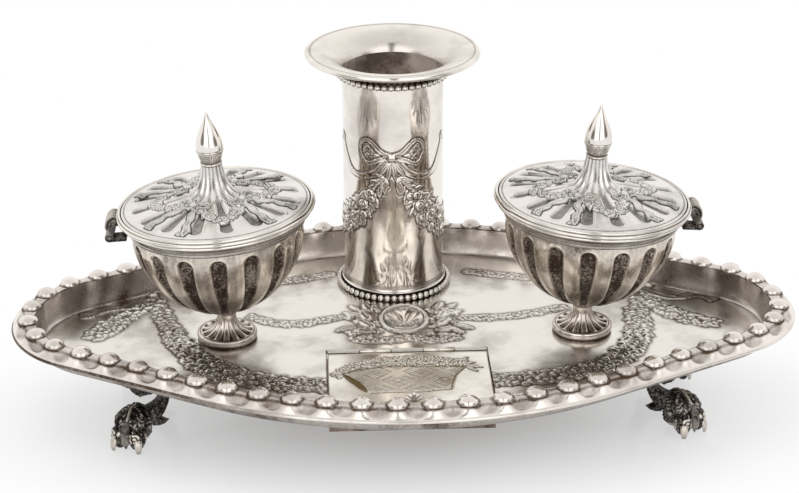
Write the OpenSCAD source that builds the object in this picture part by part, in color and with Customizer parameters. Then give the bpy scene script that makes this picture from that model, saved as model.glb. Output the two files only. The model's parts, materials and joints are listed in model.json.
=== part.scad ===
// Desk inkstand in silver plate: a boat-shaped tray on four paw feet carries two covered
// inkwells, a tall quill tube and, under a hinged flap, a box for stamps and nibs.
// Millimetres, +Z up. The origin is on the table under the middle of the tray.

/* [Tray] */
// Length of the tray over its plain edge
tray_l = 289; // [250:1:340]
// Width of the tray over its plain edge
tray_w = 167; // [145:1:195]
// Radius of the rounded ends, at the plain edge
end_r = 41; // [34:1:48]
// Angle of the straight stretch of each long side
side_slope = 29.5; // [27:0.5:32]
// Thickness of the tray sheet
sheet_t = 1.2; // [0.9:0.1:1.6]
// Height of the bossed ridge above the floor
ridge_h = 10.3; // [8:0.1:13]
// Width of the hollow curve from the floor up to the ridge
cavetto_w = 4.6; // [3.6:0.1:6]
// Width of the sloping border outside the ridge
border_w = 6.4; // [5:0.1:8]
// Drop of the sloping border from the ridge to the plain edge
border_drop = 3.3; // [1.5:0.1:4.5]
// Diameter of the round bosses on the ridge
boss_d = 7.2; // [6:0.1:8]
// Number of bosses in each quarter of the tray
bosses_per_quarter = 14; // [12:1:16]

/* [Feet] */
// Clear height of the tray floor above the table
stand_h = 31.6; // [27:0.2:40]
// Distance of each paw from the end of the ridge
foot_inset = 38; // [34:1:60]
// Distance of each paw from the long axis of the tray
foot_y = 18.5; // [15:0.5:24]
// Turn of the leg towards the front or back
foot_turn = 15; // [0:1:35]
// Further turn of the clenched paw on its leg
paw_turn = 43; // [0:1:50]
// How much further the left paws are turned than the right ones
paw_skew = 12; // [0:1:15]
// Width of the leg strap
strap_w = 7.5; // [5:0.5:9]
// Thickness of the leg strap
strap_t = 3.4; // [2.5:0.1:4.5]
// Radius of each toe
toe_r = 3.3; // [2.8:0.1:3.8]

/* [Flap and stamp box] */
// Width of the flap
flap_w = 58; // [48:1:70]
// Depth of the flap from its hinge to its front edge
flap_d = 43; // [34:1:50]
// Distance of the flap from the foot of the front border
flap_margin = 14.5; // [10:0.5:20]
// Gap around the flap in its opening
flap_gap = 0.3; // [0.2:0.05:0.5]
// Outer depth of the box under the tray
box_depth = 8; // [6:0.5:14]
// Wall of the box
box_wall = 1; // [0.8:0.1:1.6]
// Width of the flange that is soldered under the tray
box_flange = 3; // [2:0.5:5]
// Number of hinge knuckles on the flap and tray together
flap_knuckles = 5; // [3:2:7]

/* [Quill holder] */
// Distance of the holder left of the middle
holder_left = 2.4; // [0:0.2:8]
// Height of the rim of the mouth above the tray floor
holder_h = 94.5; // [75:0.5:115]
// Radius of the tube
tube_r = 19.2; // [15:0.1:23]
// Wall of the tube
tube_wall = 1; // [0.8:0.1:1.6]
// Radius of the mouth over its rolled edge
mouth_r = 32.9; // [28:0.1:38]
// Height of the trumpet of the mouth
mouth_h = 7.1; // [6:0.1:12]
// Radius of the beads of the two beaded rings
bead_r = 1.2; // [1:0.05:1.4]
// Distance of the base from the foot of the back border
holder_margin = 2.5; // [1:0.1:6]

/* [Wells] */
// Distance of each well from the middle of the tray
well_x = 65.8; // [62:0.2:72]
// Outward lean of each bowl on its stem
well_lean = 3.3; // [0:0.1:5]
// Radius of the foot of a well
well_foot_r = 11.1; // [9:0.1:14]
// Height of the foot up to the bowl
well_foot_h = 12.2; // [9:0.1:16]
// Radius of the bowl below its rim
bowl_r = 31; // [27:0.1:35]
// Height of the bowl
bowl_h = 35.4; // [30:0.1:42]
// Number of flutes around a bowl and its lid
flutes = 16; // [12:1:20]
// Depth of the flutes of the bowl
flute_depth = 1.5; // [0.8:0.1:2]
// Least thickness of the bowl behind a flute
bowl_wall = 1; // [0.8:0.1:1.6]
// Projection of the lid rim beyond the bowl
rim_out = 5; // [4:0.1:6]
// Height of the moulded rim of the bowl
collar_h = 5.2; // [4.6:0.1:6.5]
// Height of the moulded rim of the lid
lid_rim_h = 2.4; // [2:0.1:3.5]
// Rise of the shallow dome of the lid
dome_rise = 3.8; // [3:0.1:7]
// Rise of the fluted neck of the lid above its dome
neck_rise = 11.6; // [8:0.1:15]
// Radius of the top of the neck
neck_r = 3.8; // [2.8:0.1:4.5]
// Radius of the bud finial
bud_r = 4.95; // [4:0.05:6]
// Height of the bud finial
bud_h = 19.6; // [15:0.1:24]
// Wall of the glass liner
liner_wall = 1.8; // [1.2:0.1:2.5]
// Gap between the liner and the bowl
liner_gap = 0.8; // [0.4:0.1:1.5]

/* [Hinges] */
// Radius of the knuckles of a well hinge
knuckle_r = 1.6; // [1.3:0.05:2]
// Length of a well hinge along its pin
hinge_l = 20; // [14:0.5:24]
// Depth of a well hinge pin below the joint of lid and bowl
hinge_drop = 4.3; // [3.5:0.1:6]
// Distance of a well hinge pin outside the lid rim
hinge_out = 2.2; // [1.9:0.1:4]
// Radius of the knuckles of the flap hinge
flap_knuckle_r = 1.1; // [0.9:0.05:1.4]
// Share of a knuckle's radius that its pin fills
pin_share = 0.42; // [0.35:0.01:0.5]

/* [Hidden] */

$fn = 72;
pin_gap = 0.05;            // radial play of a hinge pin in its knuckles
end_gap = 0.2;             // gap between neighbouring knuckles
run_gap = 0.15;            // gap between faces that meet when a lid is shut
slip = 0.03;               // fit between pieces that are soldered or dropped together
past = 1;                  // how far a cutter reaches beyond what it cuts

// Tray outline: each quarter is a side arc, a straight stretch and an end arc.
floor_z = stand_h + sheet_t;
ridge_a = tray_l / 2 - border_w;
ridge_b = tray_w / 2 - border_w;
ridge_end_r = end_r - border_w;
end_x = ridge_a - ridge_end_r;
side_r = (end_x * sin(side_slope) + ridge_end_r - ridge_b * cos(side_slope)) / (1 - cos(side_slope));
side_y = side_r - ridge_b;
straight_l = norm([end_x + (ridge_end_r - side_r) * sin(side_slope),
                   side_y + (ridge_end_r - side_r) * cos(side_slope)]);
side_arc_l = side_r * side_slope * PI / 180;
end_arc_l = ridge_end_r * (90 - side_slope) * PI / 180;
quarter_l = side_arc_l + straight_l + end_arc_l;
dent_depth = 0.8;          // depth of the dents of the border between the bosses
edge_t = 1.8;              // thickness of the rolled plain edge
edge_w = 0.8;              // width of the rolled plain edge
bosses = 4 * bosses_per_quarter;
boss_sink = 0.6;           // how far the middle of a boss lies below the ridge
floor_b = ridge_b - cavetto_w;

// Feet, measured outwards from the middle of the paw and up from the table
pad_t = 1.5;               // thickness of the pad soldered under the tray
pad_x = -14;               // middle of the pad
ankle_z = 14;              // height at which the leg bends into the paw
toe_fan = 30;              // angle between neighbouring toes

// Flap and its hinge
flap_front = -(floor_b - flap_margin);
flap_axis_y = flap_front + flap_d;
flap_pin_r = flap_knuckle_r * pin_share;
leaf_t = 0.8;              // thickness of the fixed hinge leaf under the tray
leaf_reach = 6;            // how far the fixed leaf runs back under the tray
knuckle_l = flap_w / flap_knuckles;
box_back = flap_axis_y - flap_knuckle_r - 0.5;

// Holder
base_r = tube_r + 0.6;     // radius of the foot band that carries the beads
flare_r = tube_r + 2.3;    // radius of the flare above the beads
base_h = 5.4;              // height of the flared base
seat_depth = 3;            // depth of the recess that takes the bottom disc of the tube
bead_pitch = 2 * bead_r + 0.15;
holder_y = floor_b - base_r - 2 * bead_r - holder_margin;
throat_z = holder_h - mouth_h;

// Wells, measured up from the tray floor along the upright axis of a bowl
stem_r = 4;                // radius where the bowl stands on the foot
stem_waist = 3.5;          // least radius of the stem
bowl_turn = [-2, -8];      // turn of the flutes of the left and right bowl from the hinge
bowl_top = well_foot_h + bowl_h;
collar_drop = 1.5;         // how far the rim moulding reaches down outside the bowl
lid_z = bowl_top + collar_h - collar_drop;
rim_r = bowl_r + rim_out;
dome_r = rim_r - 2;
ledge = 1.3;               // width of the ledge that carries the lid dome
dome_t = 1.1;              // sheet of the lid dome behind a flute
lid_flute_depth = 1;
dome_z = lid_z + run_gap + 1.2;
dome_edge = 0.9;           // upright edge of the dome inside its rim
neck_power = 2.6;          // how sharply the dome sweeps up into the neck
flute_end_r = dome_r - 4.6;
band_t = 1.1;              // thickness of the plain band of the rim moulding
band_h = 1.3;              // height of that band, against which the hinge bracket is soldered
bracket_seat_r = bowl_r + band_t + 2 * slip;
axis_x = rim_r + hinge_out;
axis_z = lid_z - hinge_drop;
pin_r = knuckle_r * pin_share;
mid_knuckle = hinge_l * 0.44;
stud_r = 1.5;              // studs that hold the wells and the holder, and their nuts
nut_r = 3.4;
nut_h = 2.2;
finial_stud_r = 1.2;       // stud of the bud, and its nut inside the dome
finial_nut_r = 2.4;
finial_nut_h = 1.6;

silver = "#b9b4ac";
bright = "#d6d3cd";
dark = "#55504b";
glass = "#cfe0df";

// ---------------------------------------------------------------- tray

// Point of the first quarter at a distance s along the ridge line, moved outwards by off.
function side_point(t, off) = [(side_r + off) * sin(t), (side_r + off) * cos(t) - side_y];
function end_point(t, off) = [end_x + (ridge_end_r + off) * sin(t), (ridge_end_r + off) * cos(t)];
function quarter_point(s, off) =
    s < side_arc_l ? side_point(s / side_r * 180 / PI, off)
    : s < side_arc_l + straight_l
        ? side_point(side_slope, off)
          + (s - side_arc_l) * [cos(side_slope), -sin(side_slope)]
    : end_point(side_slope + (s - side_arc_l - straight_l) / ridge_end_r * 180 / PI, off);

// Point of the whole ridge line, anticlockwise from the middle of the front.
function loop_point(s, off) =
    let (q = min(3, floor(s / quarter_l)),
         p = quarter_point(q % 2 == 0 ? s - q * quarter_l : (q + 1) * quarter_l - s, off))
    [q < 2 ? p[0] : -p[0], q == 0 || q == 3 ? -p[1] : p[1]];

// The sheet is swept in columns, three to each boss: one through its middle, where the ridge
// is widest, and two towards its neighbours, where it is narrow and the border is dented.
column_place = [-0.34, 0, 0.34];
column_width = [0.5, 0.9, 0.5];
column_dent = [1, 0, 1];
cavetto_steps = 2;

// Section of the sheet at a column as [outwards, up] from the inner edge of the underside,
// out to the plain edge and back over the top.
function sheet_section(k) =
    let (land = column_width[k] * boss_d / 2,
         out = (land + border_w) / 2,
         mid_z = ridge_h - border_drop * 0.45 - dent_depth * column_dent[k],
         edge_z = ridge_h - border_drop,
         curve = cavetto_w - land)
    concat(
        [[-cavetto_w, -sheet_t]],
        [for (i = [1:cavetto_steps - 1])
            let (a = 90 * i / cavetto_steps)
            [curve * sin(a) - cavetto_w + sheet_t * sin(a),
             ridge_h * (1 - cos(a)) - sheet_t * cos(a)]],
        [[sheet_t - land, ridge_h - sheet_t], [land - sheet_t * 0.4, ridge_h - sheet_t],
         [out - sheet_t * 0.3, mid_z - sheet_t], [border_w - edge_w, edge_z - edge_t],
         [border_w, edge_z - edge_t / 2],
         [border_w - edge_w, edge_z], [out, mid_z], [land, ridge_h], [-land, ridge_h]],
        [for (i = [cavetto_steps - 1:-1:1])
            let (a = 90 * i / cavetto_steps)
            [curve * sin(a) - cavetto_w, ridge_h * (1 - cos(a))]],
        [[-cavetto_w, 0]]);

// Closed skin from rings of points: ring 0 is the bottom, the last ring is the top.
module skin(rings) {
    n = len(rings[0]);
    points = [for (ring = rings) each ring];
    sides = [for (i = [0:len(rings) - 2], j = [0:n - 1])
        let (k = (j + 1) % n)
        each [[i * n + j, (i + 1) * n + j, (i + 1) * n + k],
              [i * n + j, (i + 1) * n + k, i * n + k]]];
    polyhedron(points, concat([[for (j = [0:n - 1]) j]],
                              sides,
                              [[for (j = [n - 1:-1:0]) (len(rings) - 1) * n + j]]));
}

module tray() {
    color(silver)
    difference() {
        skin([for (row = [0:len(sheet_section(0)) - 1])
            [for (i = [0:bosses - 1], k = [0:2])
                let (q = sheet_section(k)[row])
                [each loop_point((i + 0.5 + column_place[k]) / bosses * 4 * quarter_l, q[0]),
                 floor_z + q[1]]]]);
        translate([-flap_w / 2 - flap_gap, flap_front - flap_gap, stand_h - past])
            cube([flap_w + 2 * flap_gap, flap_d + flap_knuckle_r + 0.2 + flap_gap,
                  sheet_t + 2 * past]);
        for (x = [-well_x, well_x])
            translate([x, 0, stand_h - past]) cylinder(r = stud_r + slip, h = sheet_t + 2 * past);
        translate([-holder_left, holder_y, stand_h - past])
            cylinder(r = stud_r + slip, h = sheet_t + 2 * past);
    }
}

// Half-round bosses soldered in a row along the ridge.
module tray_bosses() {
    color(bright)
    for (i = [0:bosses - 1])
        translate([each loop_point((i + 0.5) / bosses * 4 * quarter_l, 0), floor_z + ridge_h])
            difference() {
                translate([0, 0, -boss_sink]) sphere(d = boss_d, $fn = 32);
                translate([-boss_d, -boss_d, -2 * boss_d]) cube(2 * boss_d);
            }
}

// ---------------------------------------------------------------- feet

// Curved leg seen from the side: from the pad it drops, bows outwards and meets the paw.
module leg_outline() {
    top = stand_h;
    polygon([
        [pad_x - 6, top], [pad_x + 5, top], [pad_x + 5, top - pad_t],
        [pad_x + 3.6, top - pad_t - 2], [pad_x + strap_t, top - 7],
        [pad_x + strap_t + 1.4, ankle_z + 4], [pad_x + strap_t + 5, ankle_z + 0.6],
        [pad_x + strap_t + 7, ankle_z - 8], [pad_x + 4, ankle_z - 6],
        [pad_x + 1, ankle_z - 1], [pad_x - 0.4, top - 8],
        [pad_x - 1.2, top - pad_t - 1.2], [pad_x - 6, top - pad_t],
    ]);
}

// One toe: knuckle, middle joint and the round tip over its claw.
module toe(turn) {
    rotate([0, 0, turn]) hull() {
        translate([1, 0, 12]) sphere(r = toe_r, $fn = 8);
        translate([5, 0, 8.6]) sphere(r = toe_r, $fn = 8);
        translate([6, 0, toe_r - 0.6]) sphere(r = toe_r * 0.92, $fn = 8);
    }
}

module claw(turn) {
    rotate([0, 0, turn]) hull() {
        translate([7.2, 0, 4.6]) sphere(r = 1.6, $fn = 8);
        translate([9.8, 0, 0.6]) sphere(r = 0.5, $fn = 6);
    }
}

// Cast foot: a strap with its pad, a clenched paw turned on it and a pointed heel spur.
module paw_foot(turn) {
    difference() {
        union() {
            rotate([90, 0, 0]) translate([0, 0, -strap_w / 2])
                linear_extrude(strap_w) leg_outline();
            hull() {
                translate([-4.8, 0, ankle_z - 4.4]) sphere(r = 4.2, $fn = 10);
                rotate([0, 0, turn]) translate([0.6, 0, 8.4]) scale([1, 1.4, 1])
                    sphere(r = 5.4, $fn = 12);
                rotate([0, 0, turn]) translate([-1.6, 0, 4]) scale([1, 1.4, 1])
                    sphere(r = 4.2, $fn = 10);
            }
            for (fan = [-toe_fan, 0, toe_fan]) {
                toe(turn + fan);
                claw(turn + fan);
            }
            hull() {
                translate([-7.4, 0, ankle_z - 5.4]) sphere(r = 2.3, $fn = 8);
                translate([-14.4, 0, ankle_z - 6.6]) sphere(r = 0.7, $fn = 6);
            }
        }
        translate([-30, -30, -20]) cube([60, 60, 20]);
    }
}

module foot(mx, my) {
    color(dark)
    mirror([mx, 0, 0]) mirror([0, my, 0])
        translate([ridge_a - foot_inset, foot_y, 0]) rotate([0, 0, foot_turn])
            paw_foot(paw_turn + (mx == 1 ? paw_skew : 0));
}

// ---------------------------------------------------------------- flap and stamp box

module knuckle_tube(x0, length, radius, bore) {
    translate([x0, 0, 0]) rotate([0, 90, 0]) difference() {
        cylinder(r = radius, h = length, $fn = 32);
        translate([0, 0, -past]) cylinder(r = bore, h = length + 2 * past, $fn = 32);
    }
}

module stamp_box() {
    color(silver)
    translate([-flap_w / 2, flap_front, stand_h - box_depth]) difference() {
        union() {
            cube([flap_w, box_back - flap_front, box_depth - leaf_t]);
            translate([0, 0, box_depth - leaf_t - slip])
                cube([flap_w, box_back - flap_front - box_wall - slip, leaf_t + slip]);
            translate([-box_flange, -box_flange, box_depth - leaf_t])
                cube([flap_w + 2 * box_flange, box_back - flap_front - box_wall + box_flange
                      - slip, leaf_t]);
        }
        translate([box_wall, box_wall, box_wall])
            cube([flap_w - 2 * box_wall, box_back - flap_front - 2 * box_wall, box_depth + past]);
    }
}

// Fixed leaf under the tray, with the first, third and fifth knuckles.
module flap_hinge_leaf() {
    color(silver)
    translate([-flap_w / 2, flap_axis_y, floor_z]) {
        translate([0, box_back - box_wall - flap_axis_y, -sheet_t - leaf_t])
            cube([flap_w, leaf_reach - box_back + box_wall + flap_axis_y, leaf_t]);
        for (i = [0:2:flap_knuckles - 1]) {
            x0 = i * knuckle_l + (i == 0 ? 0 : end_gap / 2);
            length = knuckle_l - (i == 0 || i == flap_knuckles - 1 ? end_gap / 2 : end_gap);
            knuckle_tube(x0, length, flap_knuckle_r, flap_pin_r + pin_gap);
            translate([x0, flap_pin_r + pin_gap, -sheet_t - slip])
                cube([length, flap_knuckle_r - flap_pin_r - pin_gap, sheet_t + slip]);
        }
    }
}

module flap_hinge_pin() {
    color(dark)
    translate([-flap_w / 2, flap_axis_y, floor_z]) rotate([0, 90, 0])
        cylinder(r = flap_pin_r, h = flap_w, $fn = 24);
}

// Plate with the second and fourth knuckles.
module flap() {
    back_edge = -flap_knuckle_r - flap_gap;
    color(bright)
    translate([-flap_w / 2, flap_axis_y, floor_z]) {
        translate([0, -flap_d, -sheet_t]) cube([flap_w, flap_d + back_edge, sheet_t]);
        for (i = [1:2:flap_knuckles - 1]) {
            x0 = i * knuckle_l + end_gap / 2;
            length = knuckle_l - end_gap;
            knuckle_tube(x0, length, flap_knuckle_r, flap_pin_r + pin_gap);
            translate([x0, back_edge - slip, -sheet_t])
                cube([length, -back_edge - flap_pin_r - pin_gap + slip, sheet_t]);
        }
    }
}

// Small ribbed shell that stands up at the front edge of the flap.
module flap_thumbpiece() {
    rib_l = 3.4;
    color(silver)
    translate([0.6, flap_front + 1.6, floor_z]) {
        cylinder(r = 1.5, h = 0.8, $fn = 32);
        translate([0, 0, 0.8 - slip]) for (a = [-60:30:60])
            rotate([-20, a, 0]) cylinder(r1 = 0.45, r2 = 0.85, h = rib_l, $fn = 24);
    }
}

// ---------------------------------------------------------------- quill holder

module at_holder() {
    translate([-holder_left, holder_y, floor_z]) children();
}

module bead_ring(radius) {
    n = floor(2 * PI * radius / bead_pitch);
    for (i = [0:n - 1])
        rotate([0, 0, 360 * i / n]) translate([radius, 0, 0]) sphere(r = bead_r, $fn = 24);
}

// Flared base: a foot band behind the beads, a thin lip over them, a hollow curve and a
// seat for the tube.
module holder_base() {
    steps = 6;
    lip_z = 2 * bead_r + 0.3;
    lip_t = 0.5;
    color(silver) at_holder() difference() {
        rotate_extrude() polygon(concat(
            [[0, 0], [base_r, 0], [base_r, lip_z], [flare_r, lip_z]],
            [for (i = [0:steps])
                let (a = 90 * i / steps)
                [flare_r - (flare_r - tube_r) * sin(a),
                 lip_z + lip_t + (base_h - lip_z - lip_t) * (1 - cos(a))]],
            [[0, base_h]]));
        translate([0, 0, base_h - seat_depth])
            cylinder(r = tube_r - tube_wall, h = seat_depth + past);
        translate([0, 0, -past]) cylinder(r = stud_r + slip, h = base_h + past);
    }
}

module holder_base_beads() {
    color(bright) at_holder()
        translate([0, 0, bead_r + 0.15]) bead_ring(base_r + bead_r + slip);
}

module holder_tube() {
    color(silver) at_holder() difference() {
        translate([0, 0, base_h]) cylinder(r = tube_r, h = throat_z - base_h);
        translate([0, 0, base_h - past])
            cylinder(r = tube_r - tube_wall, h = throat_z - base_h + 2 * past);
    }
}

module holder_floor() {
    color(bright) at_holder() difference() {
        translate([0, 0, base_h - seat_depth]) cylinder(r = tube_r - tube_wall - slip, h = 1);
        translate([0, 0, -past]) cylinder(r = stud_r + slip, h = base_h + 2 * past);
    }
}

module holder_top_beads() {
    color(bright) at_holder()
        translate([0, 0, throat_z - bead_r - 0.1]) bead_ring(tube_r + bead_r + slip);
}

// Trumpet mouth: the curve of the flare flattens towards a rolled edge.
module holder_mouth() {
    steps = 9;
    roll = 1.1;
    wall = 1.2;
    flare_w = mouth_r - roll - tube_r;
    color(bright) at_holder() rotate_extrude() {
        polygon(concat(
            [for (i = [0:steps])
                let (a = 90 * i / steps)
                [tube_r + flare_w * (1 - cos(a)), throat_z + (mouth_h - roll) * sin(a)]],
            [for (i = [steps:-1:0])
                let (a = 90 * i / steps)
                [tube_r - tube_wall + (flare_w + tube_wall) * (1 - cos(a)),
                 throat_z + (mouth_h - roll + (i == 0 ? 0 : wall)) * sin(a)]]));
        translate([mouth_r - roll, holder_h - roll]) circle(r = roll);
    }
}

module stud(height) {
    below = sheet_t + nut_h + 0.8;
    translate([0, 0, -below]) cylinder(r = stud_r, h = below + height, $fn = 32);
}

module nut() {
    translate([0, 0, -sheet_t - nut_h]) difference() {
        cylinder(r = nut_r, h = nut_h, $fn = 6);
        translate([0, 0, -past]) cylinder(r = stud_r + slip, h = nut_h + 2 * past, $fn = 32);
    }
}

module holder_stud() {
    color(dark) at_holder() {
        stud(base_h - seat_depth + 1);
        translate([0, 0, base_h - seat_depth + 1]) cylinder(r = 2.6, h = 1.2, $fn = 32);
    }
}

module holder_nut() {
    color(dark) at_holder() nut();
}

// ---------------------------------------------------------------- wells

// Every well piece is drawn for the right-hand well, with its hinge at +X.
module at_well(side) {
    mirror([side == "left" ? 1 : 0, 0, 0]) translate([well_x, 0, floor_z]) children();
}

// The bowl and all that it carries lean outwards on top of the foot.
module leaning(side) {
    at_well(side) translate([0, 0, well_foot_h]) rotate([0, well_lean, 0])
        translate([0, 0, -well_foot_h]) children();
}

// Trumpet foot with a round stem and a thin spreading disc.
module well_foot(side) {
    steps = 10;
    disc_h = 1.6;
    waist_z = 9.3;
    rise = well_foot_h - waist_z;
    color(silver) at_well(side) difference() {
        rotate_extrude() polygon(concat(
            [[0, 0], [well_foot_r, 0], [well_foot_r, disc_h * 0.6], [well_foot_r - 0.5, disc_h]],
            [for (i = [0:steps])
                let (a = 90 * i / steps)
                [stem_waist + (well_foot_r - 1.3 - stem_waist) * (1 - sin(a)),
                 disc_h + (waist_z - disc_h) * (1 - cos(a))]],
            [[stem_r + 0.1, waist_z + rise * 0.7], [stem_r + 0.1, well_foot_h + past],
             [0, well_foot_h + past]]));
        translate([0, 0, well_foot_h]) rotate([0, well_lean, 0])
            translate([-10, -10, 0]) cube([20, 20, 10]);
        translate([0, 0, -past]) cylinder(r = stud_r + slip, h = 8 + past);
    }
}

module well_stud(side) { color(dark) at_well(side) stud(7.9); }
module well_nut(side) { color(dark) at_well(side) nut(); }

// Flute shape across one flute: depth as a share of the full depth, at each column.
flute_phase = [-0.5, -0.24, -0.12, 0.12, 0.24];
flute_share = [-0.25, 0, 0.95, 0.95, 0];
columns = len(flute_phase);
function column_angle(j) = 360 / flutes * (floor(j / columns) + flute_phase[j % columns]);
function smooth(x) = let (t = min(1, max(0, x))) t * t * (3 - 2 * t);

// Side of the bowl: s runs from 0 at the rim to 1 at the stem.
function bowl_side(s) = stem_r + (bowl_r - stem_r) * pow(max(0, 1 - pow(s, 2.26)), 0.667);
bowl_rows = [1, 0.96, 0.89, 0.78, 0.64, 0.48, 0.32, 0.18, 0.08, 0];
function bowl_flute(s) =
    flute_depth * smooth((s - 0.08) / 0.09) * (0.25 + 0.75 * bowl_side(s) / bowl_r)
    * smooth((1 - s) / 0.06);

module bowl(side) {
    wall = flute_depth + bowl_wall;
    deepest = 0.86;
    color(silver) leaning(side) difference() {
        rotate([0, 0, bowl_turn[side == "left" ? 0 : 1]]) skin([for (s = bowl_rows)
            [for (j = [0:flutes * columns - 1])
                let (r = bowl_side(s) - bowl_flute(s) * flute_share[j % columns])
                [r * cos(column_angle(j)), r * sin(column_angle(j)), bowl_top - bowl_h * s]]]);
        rotate_extrude() polygon(concat(
            [[0, bowl_top + past], [bowl_side(0) - wall, bowl_top + past]],
            [for (i = [0:8])
                let (s = deepest * i / 8)
                [bowl_side(s) - wall, bowl_top - bowl_h * s]],
            [[0, bowl_top - bowl_h * deepest]]));
    }
}

// Glass liner hung by its flange on the top of the bowl.
module liner(side) {
    outer = flute_depth + bowl_wall + liner_gap;
    depth = 0.72;
    flange_t = 1.2;
    flange_r = bowl_r - 0.9;
    color(glass, 0.6) leaning(side) rotate_extrude() polygon(concat(
        [[0, bowl_top - bowl_h * depth]],
        [for (i = [6:-1:0])
            let (s = depth * i / 6)
            [bowl_side(s) - outer, bowl_top - bowl_h * s]],
        [[flange_r, bowl_top], [flange_r, bowl_top + flange_t],
         [bowl_side(0) - outer - liner_wall, bowl_top + flange_t]],
        [for (i = [0:6])
            let (s = (depth - liner_wall / bowl_h) * i / 6)
            [bowl_side(s) - outer - liner_wall, bowl_top - bowl_h * s]],
        [[0, bowl_top - bowl_h * depth + liner_wall]]));
}

// Moulded rim of the bowl: a plain band, a hollow curve and a round, seated on the bowl's edge.
module collar(side) {
    low = bowl_top - collar_drop;
    inner = bowl_r + slip;
    swell = (rim_r - 1.6 - inner - band_t) / 3;
    color(silver) leaning(side) rotate_extrude() {
        polygon([
            [inner, low], [inner + band_t, low], [inner + band_t, low + band_h],
            [inner + band_t + swell * 0.5, low + band_h + 0.7],
            [inner + band_t + swell * 1.4, low + band_h + 1.4],
            [rim_r - 1.6, low + band_h + 2], [rim_r - 1.3, lid_z],
            [bowl_r - 0.6, lid_z], [bowl_r - 0.6, bowl_top], [inner, bowl_top],
        ]);
        translate([rim_r - 1.8, lid_z - 0.7]) circle(r = 0.7);
    }
}

// Bracket under the rim with the two outer knuckles.
module hinge_bracket(side) {
    arm = (hinge_l - mid_knuckle) / 2 - end_gap;
    color(dark) leaning(side) difference() {
        for (my = [0, 1]) mirror([0, my, 0]) translate([axis_x, mid_knuckle / 2 + end_gap, axis_z]) {
            rotate([-90, 0, 0]) cylinder(r = knuckle_r, h = arm, $fn = 32);
            translate([-8, 0, -knuckle_r * 0.9]) cube([8, arm, knuckle_r * 0.9]);
        }
        translate([axis_x, -hinge_l, axis_z]) rotate([-90, 0, 0])
            cylinder(r = pin_r + pin_gap, h = 2 * hinge_l, $fn = 32);
        translate([0, 0, axis_z - 5]) cylinder(r = bracket_seat_r, h = 20);
    }
}
module hinge_pin(side) {
    color(dark) leaning(side) translate([axis_x, -hinge_l / 2, axis_z]) rotate([-90, 0, 0])
        cylinder(r = pin_r, h = hinge_l, $fn = 24);
}

// Ring of two rounds and a groove that holds the dome on a ledge.
module lid_rim(side) {
    z0 = lid_z + run_gap;
    color(bright) leaning(side) rotate_extrude() {
        polygon([
            [dome_r - ledge, z0], [rim_r - 0.7, z0], [rim_r - 0.7, z0 + 0.9 * lid_rim_h],
            [dome_r + slip, z0 + lid_rim_h], [dome_r + slip, dome_z], [dome_r - ledge, dome_z],
        ]);
        translate([rim_r - 0.7, z0 + 0.7]) circle(r = 0.7);
        translate([rim_r - 1.1, z0 + lid_rim_h - 0.55]) circle(r = 0.55);
    }
}

// Height of the lid over the radius r: a shallow dome that sweeps up into the neck.
function lid_height(r) =
    dome_z + dome_edge + dome_rise * (1 - pow(r / dome_r, 2))
    + neck_rise * (pow(neck_r / r, neck_power) - pow(neck_r / dome_r, neck_power));
function lid_slope(r) =
    -2 * dome_rise * r / (dome_r * dome_r)
    - neck_rise * neck_power * pow(neck_r / r, neck_power) / r;
function lid_flute(r) =
    lid_flute_depth * smooth((flute_end_r - r) / 2.6) * (0.35 + 0.65 * smooth((r - neck_r) / 16));
dome_rows = concat(
    [dome_r, flute_end_r, flute_end_r - 2.4],
    [for (t = [0.7, 0.46, 0.29, 0.17, 0.09, 0.04, 0])
        neck_r + (flute_end_r - 2.4 - neck_r) * t]);

module lid_dome(side) {
    inside_top = neck_r + 3;
    under = dome_t + lid_flute_depth;
    color(silver) leaning(side) difference() {
        rotate([0, 0, 180 / flutes]) skin(concat(
            [[for (j = [0:flutes * columns - 1])
                [dome_r * cos(column_angle(j)), dome_r * sin(column_angle(j)), dome_z]]],
            [for (r = dome_rows)
                [for (j = [0:flutes * columns - 1])
                    let (d = lid_flute(r) * flute_share[j % columns],
                         slope = lid_slope(r),
                         k = 1 / norm([1, slope]),
                         rr = r + d * slope * k)
                    [rr * cos(column_angle(j)), rr * sin(column_angle(j)),
                     lid_height(r) - d * k]]]));
        rotate_extrude() polygon(concat(
            [[0, dome_z - past], [dome_r - ledge - 0.3, dome_z - past],
             [dome_r - ledge - 0.3, dome_z + 0.01]],
            [for (i = [0:8])
                let (r = dome_r - ledge - 2 + (inside_top - dome_r + ledge + 2) * i / 8)
                [r, lid_height(r) - under]],
            [[0, lid_height(inside_top) - under]]));
        translate([0, 0, dome_z - past]) cylinder(r = finial_stud_r + slip, h = 40);
    }
}

// Ribbed leaf soldered to the lid rim, with the middle knuckle.
module lid_leaf(side) {
    t = 1.3;
    ribs = 5;
    length = mid_knuckle;
    top = lid_z + run_gap + lid_rim_h * 0.8;
    color(dark) leaning(side) difference() {
        union() {
            translate([axis_x, -length / 2, axis_z]) rotate([-90, 0, 0])
                cylinder(r = knuckle_r, h = length, $fn = 32);
            translate([0, length / 2, 0]) rotate([90, 0, 0]) linear_extrude(length) polygon([
                [axis_x + knuckle_r, axis_z], [axis_x + knuckle_r, top - 1.2],
                [axis_x + knuckle_r - 0.9, top], [rim_r - 2, top], [rim_r - 2, top - t],
                [axis_x + knuckle_r - t, top - t], [axis_x + knuckle_r - t, axis_z],
            ]);
            for (i = [0:ribs - 1])
                translate([axis_x + knuckle_r - 0.25, (i - (ribs - 1) / 2) * length / ribs, axis_z])
                    cylinder(r = 0.6, h = top - 1.4 - axis_z, $fn = 24);
        }
        translate([axis_x, -hinge_l, axis_z]) rotate([-90, 0, 0])
            cylinder(r = pin_r + pin_gap, h = 2 * hinge_l, $fn = 32);
        translate([0, 0, lid_z]) cylinder(r = rim_r + slip, h = 10);
    }
}

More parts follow.
